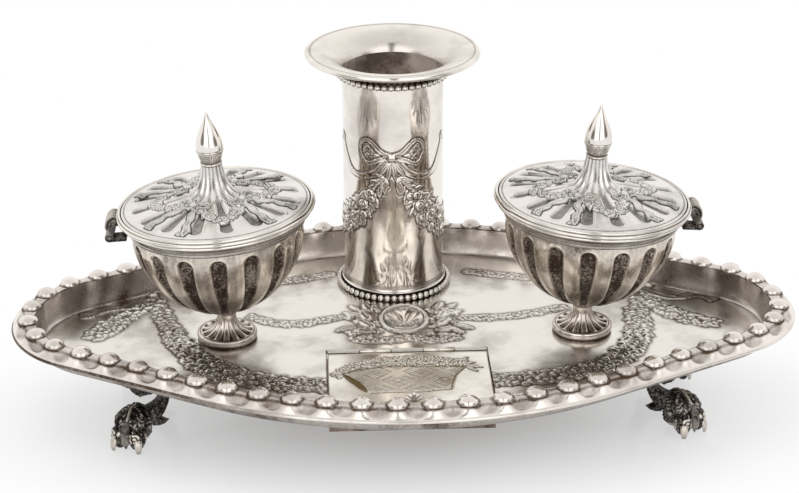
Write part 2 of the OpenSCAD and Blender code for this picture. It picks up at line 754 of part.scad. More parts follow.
// Smooth pointed bud on a small ring, with a stud that is held by a nut inside the dome.
function finial_nut_z() = lid_height(neck_r + 3) - dome_t - lid_flute_depth - finial_nut_h;

module finial(side) {
    steps = 16;
    swell = 0.28;
    ring_h = 0.9;
    nut_z = finial_nut_z();
    z0 = lid_height(neck_r);
    color(bright) leaning(side) {
        translate([0, 0, z0]) rotate_extrude() polygon(concat(
            [[0, 0], [neck_r + 0.2, 0], [neck_r + 0.2, ring_h], [neck_r - 0.4, ring_h + 0.1]],
            [for (i = [1:steps])
                let (u = i / steps,
                     v = (u - swell) / (1 - swell))
                [u < swell ? neck_r - 0.4 + (bud_r - neck_r + 0.4) * sin(90 * u / swell)
                           : 0.4 + (bud_r - 0.4) * pow(cos(90 * v), 1.25),
                 ring_h + (bud_h - ring_h) * u]],
            [[0, bud_h]]));
        translate([0, 0, nut_z - 1]) cylinder(r = finial_stud_r, h = z0 - nut_z + 1 + slip, $fn = 32);
    }
}
module finial_nut(side) {
    color(dark) leaning(side) translate([0, 0, finial_nut_z()]) difference() {
        cylinder(r = finial_nut_r, h = finial_nut_h, $fn = 6);
        translate([0, 0, -past])
            cylinder(r = finial_stud_r + slip, h = finial_nut_h + 2 * past, $fn = 32);
    }
}

tray();
tray_bosses();
foot(1, 1);  // foot_front_left
foot(0, 1);  // foot_front_right
foot(1, 0);  // foot_rear_left
foot(0, 0);  // foot_rear_right
stamp_box();
flap_hinge_leaf();
flap_hinge_pin();
flap();
flap_thumbpiece();
holder_base();
holder_base_beads();
holder_tube();
holder_floor();
holder_top_beads();
holder_mouth();
holder_stud();
holder_nut();
well_foot("left");  // left_well_foot
well_stud("left");  // left_well_stud
well_nut("left");  // left_well_nut
bowl("left");  // left_bowl
collar("left");  // left_collar
liner("left");  // left_liner
hinge_bracket("left");  // left_hinge_bracket
hinge_pin("left");  // left_hinge_pin
lid_dome("left");  // left_lid_dome
lid_rim("left");  // left_lid_rim
lid_leaf("left");  // left_lid_leaf
finial("left");  // left_finial
finial_nut("left");  // left_finial_nut
well_foot("right");  // right_well_foot
well_stud("right");  // right_well_stud
well_nut("right");  // right_well_nut
bowl("right");  // right_bowl
collar("right");  // right_collar
liner("right");  // right_liner
hinge_bracket("right");  // right_hinge_bracket
hinge_pin("right");  // right_hinge_pin
lid_dome("right");  // right_lid_dome
lid_rim("right");  // right_lid_rim
lid_leaf("right");  // right_lid_leaf
finial("right");  // right_finial
finial_nut("right");  // right_finial_nut
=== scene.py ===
"""Desk inkstand in silver plate: its finish, its chased and embossed surfaces, and the studio."""

import json

import bpy
import numpy as np
from mathutils import Matrix, Vector


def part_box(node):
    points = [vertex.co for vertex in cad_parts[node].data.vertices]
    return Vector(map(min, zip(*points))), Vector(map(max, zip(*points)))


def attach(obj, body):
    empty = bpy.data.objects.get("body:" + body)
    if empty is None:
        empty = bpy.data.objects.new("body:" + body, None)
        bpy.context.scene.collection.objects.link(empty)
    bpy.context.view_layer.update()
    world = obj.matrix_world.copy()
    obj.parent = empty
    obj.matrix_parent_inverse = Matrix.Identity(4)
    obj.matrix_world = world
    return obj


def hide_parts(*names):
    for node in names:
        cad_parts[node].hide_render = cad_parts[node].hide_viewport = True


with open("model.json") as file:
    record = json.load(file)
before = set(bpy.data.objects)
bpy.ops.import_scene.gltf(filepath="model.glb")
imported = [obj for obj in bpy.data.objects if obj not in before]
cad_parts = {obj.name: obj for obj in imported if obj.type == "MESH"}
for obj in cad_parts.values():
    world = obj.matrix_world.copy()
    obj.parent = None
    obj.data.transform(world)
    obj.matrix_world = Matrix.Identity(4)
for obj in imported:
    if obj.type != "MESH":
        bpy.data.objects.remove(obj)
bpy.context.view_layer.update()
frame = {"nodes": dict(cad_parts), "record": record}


# ---------------------------------------------------------------- Camera and table
# The inkstand stands on a wide white glossy table. The camera looks down on it a little
# from the left of its middle.

MM = 0.001
CAMERA_AT = np.array([-29.96, -699.72, 376.74])
YAW, PITCH, ROLL = np.radians([2.29, 23.81, -0.27])
FOCAL_PX = 2100.0
PICTURE_W = 799.0
SENSOR = 36.0


def aimed(at, yaw, pitch, roll):
    """Camera matrix: forward is yawed right from +Y and pitched down, then the picture is
    rolled."""
    forward = Vector((np.sin(yaw) * np.cos(pitch), np.cos(yaw) * np.cos(pitch), -np.sin(pitch)))
    level = Vector((np.cos(yaw), -np.sin(yaw), 0))
    upright = level.cross(forward)
    right = level * np.cos(roll) + upright * np.sin(roll)
    up = upright * np.cos(roll) - level * np.sin(roll)
    facing = Matrix((right, up, -forward)).transposed().to_4x4()
    return Matrix.Translation(Vector(at) * MM) @ facing


def into_scene(name, data):
    """A new object that holds data, linked to the scene."""
    thing = bpy.data.objects.new(name, data)
    bpy.context.scene.collection.objects.link(thing)
    return thing


camera_data = bpy.data.cameras.new("camera")
camera_data.sensor_width = SENSOR
camera_data.lens = FOCAL_PX / PICTURE_W * SENSOR
camera_data.clip_end = 20
camera = into_scene("camera", camera_data)
camera.matrix_world = aimed(CAMERA_AT, YAW, PITCH, ROLL)
bpy.context.scene.camera = camera
bpy.context.scene.view_settings.view_transform = "Standard"


def linear(hex_colour):
    """sRGB hex to linear RGBA by the sRGB transfer curve."""
    srgb = np.array([int(hex_colour[i:i + 2], 16) for i in (1, 3, 5)]) / 255
    rgb = np.where(srgb > 0.04045, ((srgb + 0.055) / 1.055) ** 2.4, srgb / 12.92)
    return (*rgb.tolist(), 1.0)


def add(tree, kind, inputs=(), **settings):
    """Add one node to a tree: settings are its properties, inputs are (socket, value or
    output to link) pairs."""
    node = tree.nodes.new(kind)
    for name, value in settings.items():
        setattr(node, name, value)
    for socket, value in inputs:
        if isinstance(value, bpy.types.NodeSocket):
            tree.links.new(value, node.inputs[socket])
        else:
            node.inputs[socket].default_value = value
    return node


def new_material(name):
    """An empty node material and its tree."""
    material = bpy.data.materials.new(name)
    material.use_nodes = True
    material.node_tree.nodes.clear()
    return material, material.node_tree


def fill_mesh(mesh, points, faces):
    """Put points (mm) and faces, an array of quads where a repeated corner makes a
    triangle, into a mesh."""
    corners = [f[:3] if f[3] == f[2] else f for f in faces.tolist()]
    mesh.from_pydata((points * MM).tolist(), [], corners)
    mesh.polygons.foreach_set("use_smooth", [True] * len(mesh.polygons))


TABLE_HALF = 3000.0
TABLE_Z = -0.02

corners = np.array([(-1, -1), (1, -1), (1, 1), (-1, 1)]) * TABLE_HALF
points = np.concatenate([corners, np.full((4, 1), TABLE_Z)], 1)
table_mesh = bpy.data.meshes.new("table")
fill_mesh(table_mesh, points, np.array([[0, 1, 2, 3]]))
into_scene("table", table_mesh)

# White acrylic sheet: pale, with a soft mirror image from its polished skin. Camera and
# glossy rays also see a painted white glow mixed in, which keeps its shadows light: painted
# light, weakest near the inkstand. It brightens to plain white outside an oval about
# 215 mm to each side and 100 mm deep.
GLOW_START, GLOW_FULL = 0.02, 0.215
OVAL_DEPTH = 2.2

acrylic, tree = new_material("white acrylic sheet")
place = add(tree, "ShaderNodeTexCoord")
deep = add(tree, "ShaderNodeVectorMath", [
    (0, place.outputs["Object"]), (1, (1.0, OVAL_DEPTH, 1.0))], operation="MULTIPLY")
away = add(tree, "ShaderNodeVectorMath", [(0, deep.outputs[0])], operation="LENGTH")
# Painted light: the glow's share rises from 0.29 by the inkstand to 1 far off, so its shadows fade
# out as painted.
far = add(tree, "ShaderNodeMapRange", [
    ("Value", away.outputs["Value"]), ("From Min", GLOW_START), ("From Max", GLOW_FULL),
    ("To Min", 0.29), ("To Max", 1.0)], interpolation_type="SMOOTHSTEP")
sheet_shader = add(tree, "ShaderNodeBsdfPrincipled", [
    ("Base Color", linear("#ABAAAB")), ("Roughness", 0.12), ("IOR", 1.49)])
painted_glow_shader = add(tree, "ShaderNodeEmission", [("Color", linear("#FFFFFF")), ("Strength", 1.0)])
path = add(tree, "ShaderNodeLightPath")
seen = add(tree, "ShaderNodeMath", [
    (0, path.outputs["Is Camera Ray"]), (1, path.outputs["Is Glossy Ray"])],
    operation="MAXIMUM")
share = add(tree, "ShaderNodeMath", [(0, far.outputs["Result"]), (1, seen.outputs[0])],
            operation="MULTIPLY")
mixed = add(tree, "ShaderNodeMixShader", [
    (0, share.outputs[0]), (1, sheet_shader.outputs[0]), (2, painted_glow_shader.outputs[0])])
add(tree, "ShaderNodeOutputMaterial", [("Surface", mixed.outputs[0])])
table_mesh.materials.append(acrylic)


# ---------------------------------------------------------------- Studio light
# Two big white panels stand in front, left and right of the camera, with white walls behind
# the object. The dark gap at the camera and the brown gaps at both sides show in polished
# silver. Broad lamps light the table.

GAP_SIDE = np.radians(60)
GAP_WIDTH = 0.18
LAMP_AIM = Vector((0, 0, 0.05))

world = bpy.data.worlds.new("studio")
bpy.context.scene.world = world
world.use_nodes = True
tree = world.node_tree
tree.nodes.clear()
way = add(tree, "ShaderNodeTexCoord")
split = add(tree, "ShaderNodeSeparateXYZ", [(0, way.outputs["Generated"])])
beside = add(tree, "ShaderNodeMath", [(0, split.outputs["X"])], operation="ABSOLUTE")
camera_gap = add(tree, "ShaderNodeMapRange", [
    ("Value", beside.outputs[0]), ("From Min", 0.05), ("From Max", 0.12), ("To Min", 0.2)],
    interpolation_type="SMOOTHSTEP")
behind = add(tree, "ShaderNodeMapRange", [
    ("Value", split.outputs["Y"]), ("From Min", -0.5), ("From Max", -0.2)],
    interpolation_type="SMOOTHSTEP")
gaps = add(tree, "ShaderNodeMath", [
    (0, camera_gap.outputs["Result"]), (1, behind.outputs["Result"])], operation="MAXIMUM")
for side in (-1, 1):
    aim = (float(side * np.sin(GAP_SIDE)), float(-np.cos(GAP_SIDE)), 0.15)
    near = add(tree, "ShaderNodeVectorMath", [
        (0, way.outputs["Generated"]), (1, aim)], operation="DISTANCE")
    side_gap = add(tree, "ShaderNodeMapRange", [
        ("Value", near.outputs["Value"]), ("From Min", GAP_WIDTH), ("From Max", GAP_WIDTH * 2.4),
        ("To Min", 0.12)], interpolation_type="SMOOTHSTEP")
    gaps = add(tree, "ShaderNodeMath", [
        (0, gaps.outputs[0]), (1, side_gap.outputs["Result"])], operation="MULTIPLY")
ceiling = add(tree, "ShaderNodeMapRange", [
    ("Value", split.outputs["Z"]), ("From Min", 0.62), ("From Max", 0.92), ("To Min", 1.0),
    ("To Max", 0.85)], interpolation_type="SMOOTHSTEP")
walls = add(tree, "ShaderNodeMapRange", [
    ("Value", split.outputs["Y"]), ("From Min", -0.75), ("From Max", -0.25), ("To Min", 1.75),
    ("To Max", 1.15)], interpolation_type="SMOOTHSTEP")
panels = add(tree, "ShaderNodeMath", [
    (0, walls.outputs["Result"]), (1, ceiling.outputs["Result"])], operation="MULTIPLY")
tint = add(tree, "ShaderNodeMix", [
    ("Factor", gaps.outputs[0]), (6, linear("#3E3731")), (7, linear("#F6F4F1"))],
    data_type="RGBA")
studio = add(tree, "ShaderNodeBackground", [
    ("Color", tint.outputs[2]), ("Strength", panels.outputs[0])])
white_sky = add(tree, "ShaderNodeBackground", [("Color", linear("#FFFFFF")), ("Strength", 1.0)])
path = add(tree, "ShaderNodeLightPath")
sky = add(tree, "ShaderNodeMixShader", [
    (0, path.outputs["Is Camera Ray"]), (1, studio.outputs[0]), (2, white_sky.outputs[0])])
add(tree, "ShaderNodeOutputWorld", [("Surface", sky.outputs[0])])


def lamp(name, at, size, watts):
    """Square area lamp at a place in mm, aimed at the middle of the inkstand."""
    data = bpy.data.lights.new(name, "AREA")
    data.size = size * MM
    data.energy = watts
    thing = into_scene(name, data)
    thing.visible_glossy = False
    place = Vector(at) * MM
    thing.matrix_world = Matrix.Translation(place) @ (
        LAMP_AIM - place).to_track_quat("-Z", "Y").to_matrix().to_4x4()


lamp("top panel", (-250, -150, 900), 500, 5.0)
lamp("right panel", (800, -300, 550), 400, 2.5)


# ---------------------------------------------------------------- Tray border
# The tray is raised from one sheet. Its border rises from the floor in a steep hollow curve
# to a ridge, then slopes out to a rolled plain edge. Round bosses sit on the ridge in
# scalloped seats, and an oval dent is pressed into the slope between each two.


def box_mm(node):
    """Low and high corner of a CAD node's box, in mm."""
    low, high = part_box(node)
    return np.array(low) / MM, np.array(high) / MM


JOINTS = {j["name"]: j for j in frame["record"]["behaviour"]["joints"]}
FLOOR_Z = JOINTS["flap_hinge"]["pos_m"][2] / MM
tray_low, tray_high = box_mm("tray")
SHEET = FLOOR_Z - tray_low[2]
EDGE_X, EDGE_Y = tray_high[:2]
BORDER = 6.4
HOLLOW = 4.6
CREST_IN = 2.3
CREST_OUT = 1.7
RIDGE_UP = 11.1
SLOPE_DROP = 3.3
ROLL_R = 0.6
END_R = 34.6
SLOPE = np.radians(29.5)
BOSSES = 56
BOSS_R = 3.6
BOSS_H = 2.3
BOSS_SUNK = 0.25
DENT_DEPTH = 0.85
DENT_LONG = 5.3
DENT_WIDE = 2.2
DENT_OUT = 3.3
# How far the underside of the wall turns up its quarter ellipse, in radians.
WALL_TURN = 1.25

ridge_b = EDGE_Y - BORDER
end_x = EDGE_X - BORDER - END_R
side_r = (end_x * np.sin(SLOPE) + END_R - ridge_b * np.cos(SLOPE)) / (1 - np.cos(SLOPE))
side_y = side_r - ridge_b
side_l = side_r * SLOPE
straight_l = np.hypot(end_x + (END_R - side_r) * np.sin(SLOPE),
                      side_y + (END_R - side_r) * np.cos(SLOPE))
quarter_l = side_l + straight_l + END_R * (np.pi / 2 - SLOPE)


def ridge_line(s):
    """Points of the ridge and its outward normals at arc lengths s, anticlockwise from the
    middle of the front. A quarter is a side arc about (0, -side_y), a straight tangent and
    an end arc about (end_x, 0); the other quarters are its mirror images."""
    quarter = (s // quarter_l).astype(int) % 4
    along = s % quarter_l
    along = np.where(quarter % 2 == 0, along, quarter_l - along)
    on_end = along > side_l + straight_l
    turn = np.where(on_end, SLOPE + (along - side_l - straight_l) / END_R,
                    np.minimum(along / side_r, SLOPE))
    run = np.clip(along - side_l, 0, straight_l)
    x = np.where(on_end, end_x + END_R * np.sin(turn),
                 side_r * np.sin(turn) + run * np.cos(SLOPE))
    y = np.where(on_end, END_R * np.cos(turn),
                 side_r * np.cos(turn) - side_y - run * np.sin(SLOPE))
    flip = np.stack([np.where(quarter < 2, 1, -1),
                     np.where((quarter == 0) | (quarter == 3), -1, 1)], -1)
    return np.stack([x, y], -1) * flip, np.stack([np.sin(turn), np.cos(turn)], -1) * flip


def grid_faces(rows, columns, wrap=False):
    """Quads of a rows x columns grid of points; wrap joins the last column to the first.
    They face along (row step) x (column step)."""
    j = np.arange(columns if wrap else columns - 1)
    i = np.arange(rows - 1)[:, None]
    k = (j + 1) % columns
    a, b = i * columns + j, (i + 1) * columns + j
    c, d = (i + 1) * columns + k, i * columns + k
    return np.stack([a, b, c, d], -1).reshape(-1, 4)


def border_surface(columns, rows):
    """The sheet's section swept along the ridge. Over the section v runs 0..1 up the hollow
    curve, a quarter of an ellipse, 1..2 over the crest, 2..3 down the slope, 3..4 round the
    rolled edge, 4..5 back underneath and 5..6 down the wall, one sheet outside the hollow
    curve. The crest widens by a squared cosine at each boss, and the slope dips in a wide
    oval dent, depth (1 - t^2)^1.3, in each gap between two. The sheet sinks in a ring round
    each boss, painted dark there as shade at the boss's foot. Painted shadow lines follow both
    edges of the crest, the hollow curve is browner in streaks behind the wells, and the rolled
    edge is painted dark at the left of the front, a painted reflection of the studio's dark
    side."""
    s = np.arange(columns) / columns * 4 * quarter_l
    middle, normal = ridge_line(s)
    pitch = 4 * quarter_l / BOSSES
    from_boss = (s / pitch - 0.5 - np.round(s / pitch - 0.5)) * pitch
    from_gap = pitch / 2 - np.abs(from_boss)
    gap_no = np.round(s / pitch)
    scallop = np.cos(np.pi * from_boss / pitch) ** 2
    v = rows[:, None]
    land_in = CREST_IN + (0.9 * scallop - 0.3) * np.clip(v, 0, 1) ** 8
    land_out = CREST_OUT + 1.9 * scallop
    crest = RIDGE_UP - 0.45 * (1 - scallop) + 0.08 * np.sin(s / pitch * 2.3)
    up = np.clip(v, 0, 1) * np.pi / 2
    across = np.clip(v - 1, 0, 1)
    down = np.clip(v - 2, 0, 1)
    low_z = RIDGE_UP - SLOPE_DROP
    edge_off = BORDER - ROLL_R
    off_top = np.where(
        v <= 1, -HOLLOW + (HOLLOW - land_in) * np.sin(up),
        np.where(v <= 2, -land_in + (land_in + land_out) * across,
                 land_out + (edge_off - land_out) * down))
    z_top = np.where(
        v <= 1, crest * (1 - np.cos(up)),
        np.where(v <= 2, crest + 0.35 * np.sin(np.pi * across), crest + (low_z - crest) * down))
    place = np.hypot(
        (from_gap + 0.5 * np.sin(gap_no * 1.7)) / (DENT_LONG + 0.5 * np.sin(gap_no * 4.3)),
        (off_top - DENT_OUT) / (DENT_WIDE + 0.3 * np.sin(gap_no * 3.1)))
    dent = np.clip(1 - place ** 2, 0, 1) ** 1.3 * ((v > 1.3) & (v < 3))
    z_top = z_top - (DENT_DEPTH + 0.15 * np.sin(gap_no * 2.9)) * dent
    seat = (np.exp(-((np.hypot(from_boss, off_top) - BOSS_R - 0.2) / 0.35) ** 2)
            * np.clip((v - 0.96) / 0.03, 0, 1) * np.clip((2.6 - v) / 0.5, 0, 1))
    z_top = z_top - 0.3 * seat
    roll = np.clip(v - 3, 0, 1) * np.pi * 1.15 - 0.25
    off_roll = edge_off + ROLL_R * np.sin(roll)
    z_roll = low_z - ROLL_R + ROLL_R * np.cos(roll)
    back = np.clip(v - 4, 0, 2)
    below = np.clip(2 - back, 0, 1) * WALL_TURN
    run, climb = (HOLLOW - CREST_IN) * np.cos(below), RIDGE_UP * np.sin(below)
    thick = SHEET / np.hypot(run, climb)
    off_back = np.where(back < 1, edge_off - (edge_off + 0.6) * back,
                        -HOLLOW + (HOLLOW - CREST_IN) * np.sin(below) + thick * climb)
    z_back = np.where(back < 1, low_z - 2 * ROLL_R + (RIDGE_UP - low_z) * 0.8 * back,
                      RIDGE_UP * (1 - np.cos(below)) - thick * run)
    off = np.where(v <= 3, off_top, np.where(v <= 4, off_roll, off_back))
    z = np.where(v <= 3, z_top, np.where(v <= 4, z_roll, z_back))
    xy = middle + off[..., None] * normal
    points = np.concatenate([xy, (FLOOR_Z + z)[..., None]], -1)
    x, rear = np.abs(middle[:, 0]), middle[:, 1] > 0
    streak = 0.6 + 0.4 * np.sin(s / 2.3 + 2.2 * np.sin(s / 6.1) + 3.5 * v)
    stain = np.clip((x - 78) / 22, 0, 1) * np.clip((132 - x) / 8, 0, 1) * rear * streak
    hollow = np.exp(-((v - 0.35) / 0.4) ** 2) * 0.3 + 0.55 * stain * (v < 0.95)
    # Painted shadow lines at both edges of the crest, a dark line at the foot of the hollow curve,
    # and the crest a little darker.
    lines = sum(dark * np.exp(-((v - at) / reach) ** 2) for at, reach, dark in (
        (0.972, 0.014, 0.85), (2.02, 0.08, 0.5), (0.03, 0.05, 0.5))) + 0.22 * (v > 1) * (v < 2)
    blot = 0.75 + 0.25 * np.sin(s / 1.7 + 2 * np.sin(s / 4.1) + 5 * v)
    # Painted reflection: the rolled edge is dark at the left of the front, where it mirrors the
    # studio's dark side.
    edge = 0.08 + 0.8 * np.clip((-middle[:, 0] - 45) / 30, 0, 1) * (~rear)
    # The sunk ring round each boss is painted dark: painted shade at the boss's foot.
    top = 0.9 * seat + 0.5 * blot * np.clip(2.2 * dent - 0.15, 0, 1) + hollow + lines
    tone = np.where(v <= 3, top, np.where(v <= 4, edge, 0.6))
    return points.reshape(-1, 3), grid_faces(len(rows), columns, True), tone.reshape(-1)


border_rows = np.concatenate([
    np.linspace(0, 0.9, 10), [0.94, 0.96, 0.972, 0.985, 1], np.linspace(1, 2, 10)[1:],
    np.linspace(2, 3, 13)[1:], np.linspace(3, 4, 9)[1:], np.linspace(4, 6, 9)[1:]])
border = border_surface(BOSSES * 22, border_rows)


def dome_cluster(centres, radius, height, rings, columns):
    """Domes on a list of centres: at a share t of its height a dome has the radius
    r (1 - t^2)^(1/2). Each is painted dark at its foot, painted shade where it meets the sheet."""
    t = np.sin(np.linspace(0, 1, rings) * np.pi / 2)
    turn = np.arange(columns) / columns * 2 * np.pi
    flat = radius[:, None, None] * np.sqrt(np.clip(1 - t ** 2, 0, 1))[None, :, None]
    x = centres[:, 0, None, None] + flat * np.cos(turn)
    y = centres[:, 1, None, None] + flat * np.sin(turn)
    z = centres[:, 2, None, None] + (height[:, None, None] * t[None, :, None]) + 0 * x
    points = np.stack([x, y, z], -1)
    one = grid_faces(rings, columns, True)[:, ::-1]
    step = rings * columns
    faces = (one[None] + (np.arange(len(centres)) * step)[:, None, None]).reshape(-1, 4)
    # Painted shade: dark at the foot of each dome, fading up it.
    tone = np.broadcast_to(0.06 + 0.65 * np.exp(-t / 0.14)[None, :, None], x.shape)
    return points.reshape(-1, 3), faces, tone.reshape(-1)


boss_no = np.arange(BOSSES)
boss_at, _ = ridge_line((boss_no + 0.5) / BOSSES * 4 * quarter_l)
boss_at = np.concatenate([boss_at, np.full((BOSSES, 1), FLOOR_Z + RIDGE_UP - BOSS_SUNK)], 1)
bosses = dome_cluster(boss_at, BOSS_R * (1 + 0.03 * np.sin(boss_no * 2.1)),
                      BOSS_H + 0.15 * np.sin(boss_no * 1.3), 10, 28)

# The whole stand is brass under a thick plate of silver. It was polished by hand, so the
# high places are bright and the hollows keep a brown-grey sulphide toning. Each surface
# carries an attribute "tone", from 0, rubbed bright, to 1, fully toned.
GRAIN_MM = 0.9
SMEAR_MM = 14
WAVE_MM = 9
SCRATCH_DEEP = 0.02


def silver_plate(name, bright, toned, roughness, patch_mm, patch_share, wave, speckle=0.25):
    """Polished silver that tones by its tone attribute and in cloudy patches of patch_mm.
    Toning adds up to 0.3 to the roughness, and finger smears of SMEAR_MM up to 0.8 of what
    it starts from. wave is the height in mm of the soft unevenness, WAVE_MM across, that
    hand work leaves in the sheet, and speckle is how unevenly the toning lies in grains of
    GRAIN_MM."""
    material, tree = new_material(name)
    place = add(tree, "ShaderNodeTexCoord").outputs["Object"]
    tone = add(tree, "ShaderNodeAttribute", attribute_name="tone").outputs["Fac"]
    cloud = add(tree, "ShaderNodeTexNoise", [
        ("Vector", place), ("Scale", 1000 / patch_mm), ("Detail", 5.0), ("Roughness", 0.62)])
    patch = add(tree, "ShaderNodeMapRange", [
        ("Value", cloud.outputs["Fac"]), ("From Min", 0.44), ("From Max", 0.68),
        ("To Max", patch_share)], interpolation_type="SMOOTHSTEP")
    grain = add(tree, "ShaderNodeTexNoise", [
        ("Vector", place), ("Scale", 1000 / GRAIN_MM), ("Detail", 3.0), ("Roughness", 0.7)])
    grit = add(tree, "ShaderNodeMapRange", [
        ("Value", grain.outputs["Fac"]), ("From Min", 0.3), ("From Max", 0.7),
        ("To Min", 1 - speckle), ("To Max", 1 + 0.8 * speckle)])
    worn = add(tree, "ShaderNodeMath", [(0, tone), (1, grit.outputs["Result"])],
               operation="MULTIPLY")
    total = add(tree, "ShaderNodeMath", [(0, worn.outputs[0]), (1, patch.outputs["Result"])],
                operation="ADD", use_clamp=True)
    colour = add(tree, "ShaderNodeMix", [
        ("Factor", total.outputs[0]), (6, linear(bright)), (7, linear(toned))],
        data_type="RGBA")
    dull = add(tree, "ShaderNodeMapRange", [
        ("Value", total.outputs[0]), ("To Min", roughness), ("To Max", roughness + 0.3)])
    smear = add(tree, "ShaderNodeTexNoise", [
        ("Vector", place), ("Scale", 1000 / SMEAR_MM), ("Detail", 4.0), ("Roughness", 0.6)])
    smudge = add(tree, "ShaderNodeMapRange", [
        ("Value", smear.outputs["Fac"]), ("From Min", 0.35), ("From Max", 0.7),
        ("To Max", roughness * 0.8)])
    rough = add(tree, "ShaderNodeMath", [
        (0, dull.outputs["Result"]), (1, smudge.outputs["Result"])], operation="ADD")
    waves = add(tree, "ShaderNodeTexNoise", [
        ("Vector", place), ("Scale", 1000 / WAVE_MM), ("Detail", 1.0)])
    uneven = add(tree, "ShaderNodeBump", [
        ("Height", waves.outputs["Fac"]), ("Distance", wave * MM), ("Strength", 1.0)])
    scratch = add(tree, "ShaderNodeBump", [
        ("Height", grain.outputs["Fac"]), ("Distance", SCRATCH_DEEP * MM), ("Strength", 0.6),
        ("Normal", uneven.outputs["Normal"])])
    skin = add(tree, "ShaderNodeBsdfPrincipled", [
        ("Base Color", colour.outputs[2]), ("Metallic", 1.0),
        ("Roughness", rough.outputs[0]), ("Normal", scratch.outputs["Normal"])])
    add(tree, "ShaderNodeOutputMaterial", [("Surface", skin.outputs[0])])
    return material


def make_piece(name, parts, body, material, nodes):
    """One object from parts, a list of (points in mm, faces, tone per point), that rides on
    a body and stands for CAD nodes."""
    start = np.cumsum([0] + [len(p[0]) for p in parts[:-1]])
    points = np.concatenate([p[0] for p in parts])
    faces = np.concatenate([p[1] + s for p, s in zip(parts, start)])
    tone = np.concatenate([np.broadcast_to(p[2], len(p[0])) for p in parts])
    mesh = bpy.data.meshes.new(name)
    fill_mesh(mesh, points, faces)
    layer = mesh.attributes.new("tone", "FLOAT", "POINT")
    layer.data.foreach_set("value", np.clip(tone, 0, 1).astype(np.float32))
    mesh.materials.append(material)
    thing = into_scene(name, mesh)
    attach(thing, body)
    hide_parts(*nodes)


# Hammered and handled: bright on every high place, with brown left in the hollows.
chased_silver = silver_plate("chased plate", "#EEE8E3", "#57473B", 0.13, 22, 0.35, 0.12)
make_piece("tray_border", [border, bosses], "stand", chased_silver, ["tray", "tray_bosses"])


# ---------------------------------------------------------------- Tray floor
# The floor is the same sheet, planished flat and polished. Before it was polished its
# ornament was chased up from below: flower garlands hung from ribbons, thin swags of
# leaves, and a shell in an oval frame between acanthus sprays.

FLOOR_STEP = 0.62
UNDER_STEP = 4.0


def emboss(field, x, y, at, turn, reach, form):
    """Raise a height field to form(a, b), given in its own frame turned by turn about at,
    wherever that is higher."""
    near = np.flatnonzero((np.abs(x - at[0]) < reach) & (np.abs(y - at[1]) < reach))
    dx, dy = x.flat[near] - at[0], y.flat[near] - at[1]
    a, b = dx * np.cos(turn) + dy * np.sin(turn), dy * np.cos(turn) - dx * np.sin(turn)
    field.flat[near] = np.maximum(field.flat[near], form(a, b))


def rose(radius, rise, spin):
    """A chased rose: a dome with five petals at its edge, cut by a line that winds out
    twice round its eye."""
    def form(a, b):
        far = np.hypot(a, b) / radius
        round_ = np.arctan2(b, a)
        lobed = far / (0.86 + 0.14 * np.abs(np.cos(2.5 * round_ + spin)))
        dome = rise * np.sqrt(np.clip(1 - lobed ** 2, 0, 1))
        wind = (2.1 * far - (round_ + spin) / (2 * np.pi)) % 1
        return dome * (1 - 0.55 * np.exp(-((wind - 0.5) / 0.17) ** 2))
    return form


def set_rose(field, x, y, at, radius, rise, spin):
    """Sink a line round the place of a rose, a share 0.9 of what lies there, and raise the
    rose in it."""
    near = np.flatnonzero((np.abs(x - at[0]) < radius * 1.6) & (np.abs(y - at[1]) < radius * 1.6))
    far = np.hypot(x.flat[near] - at[0], y.flat[near] - at[1]) / radius
    field.flat[near] = field.flat[near] * (1 - 0.9 * np.exp(-((far - 1.06) / 0.16) ** 2))
    emboss(field, x, y, at, 0, radius * 1.1, rose(radius, rise, spin))


def leaf(length, width, rise):
    """A chased leaf from its stalk at (0, 0): at a share a of its length the half width is
    width sin(pi a^0.85)^0.8, and the rounded blade has a sunk midrib."""
    def form(a, b):
        along = np.clip(a / length, 0, 1)
        half = np.maximum(width * np.sin(np.pi * along ** 0.85) ** 0.8, 1e-3)
        across = np.abs(b) / half
        blade = np.sqrt(np.clip(1 - across ** 2, 0, 1)) * (across < 1)
        rib = 1 - 0.6 * np.exp(-(b / (0.16 * width)) ** 2)
        return rise * blade * rib * ((a > 0) & (a < length))
    return form


def along_path(knots, step):
    """Points about step apart on a smooth curve through the knots, their tangent angles
    and their share of its length; each coordinate is a natural cubic in the chord length."""
    knots = np.asarray(knots, float)
    chord = np.concatenate([[0], np.cumsum(np.hypot(*np.diff(knots, axis=0).T))])
    n = len(knots)
    h = np.diff(chord)
    system = np.eye(n)
    right = np.zeros((n, knots.shape[1]))
    for i in range(1, n - 1):
        system[i, i - 1:i + 2] = h[i - 1], 2 * (h[i - 1] + h[i]), h[i]
        right[i] = 6 * ((knots[i + 1] - knots[i]) / h[i] - (knots[i] - knots[i - 1]) / h[i - 1])
    bend = np.linalg.solve(system, right)
    t = np.linspace(0, chord[-1], max(int(chord[-1] / step), 2) + 1)
    i = np.clip(np.searchsorted(chord, t) - 1, 0, n - 2)
    u, w, hi = (t - chord[i])[:, None], (chord[i + 1] - t)[:, None], h[i][:, None]
    at = (bend[i] * w ** 3 + bend[i + 1] * u ** 3) / (6 * hi)
    at = (at + (knots[i] / hi - bend[i] * hi / 6) * w
          + (knots[i + 1] / hi - bend[i + 1] * hi / 6) * u)
    lean = np.gradient(at, axis=0)
    return at, np.arctan2(lean[:, 1], lean[:, 0]), t / chord[-1]


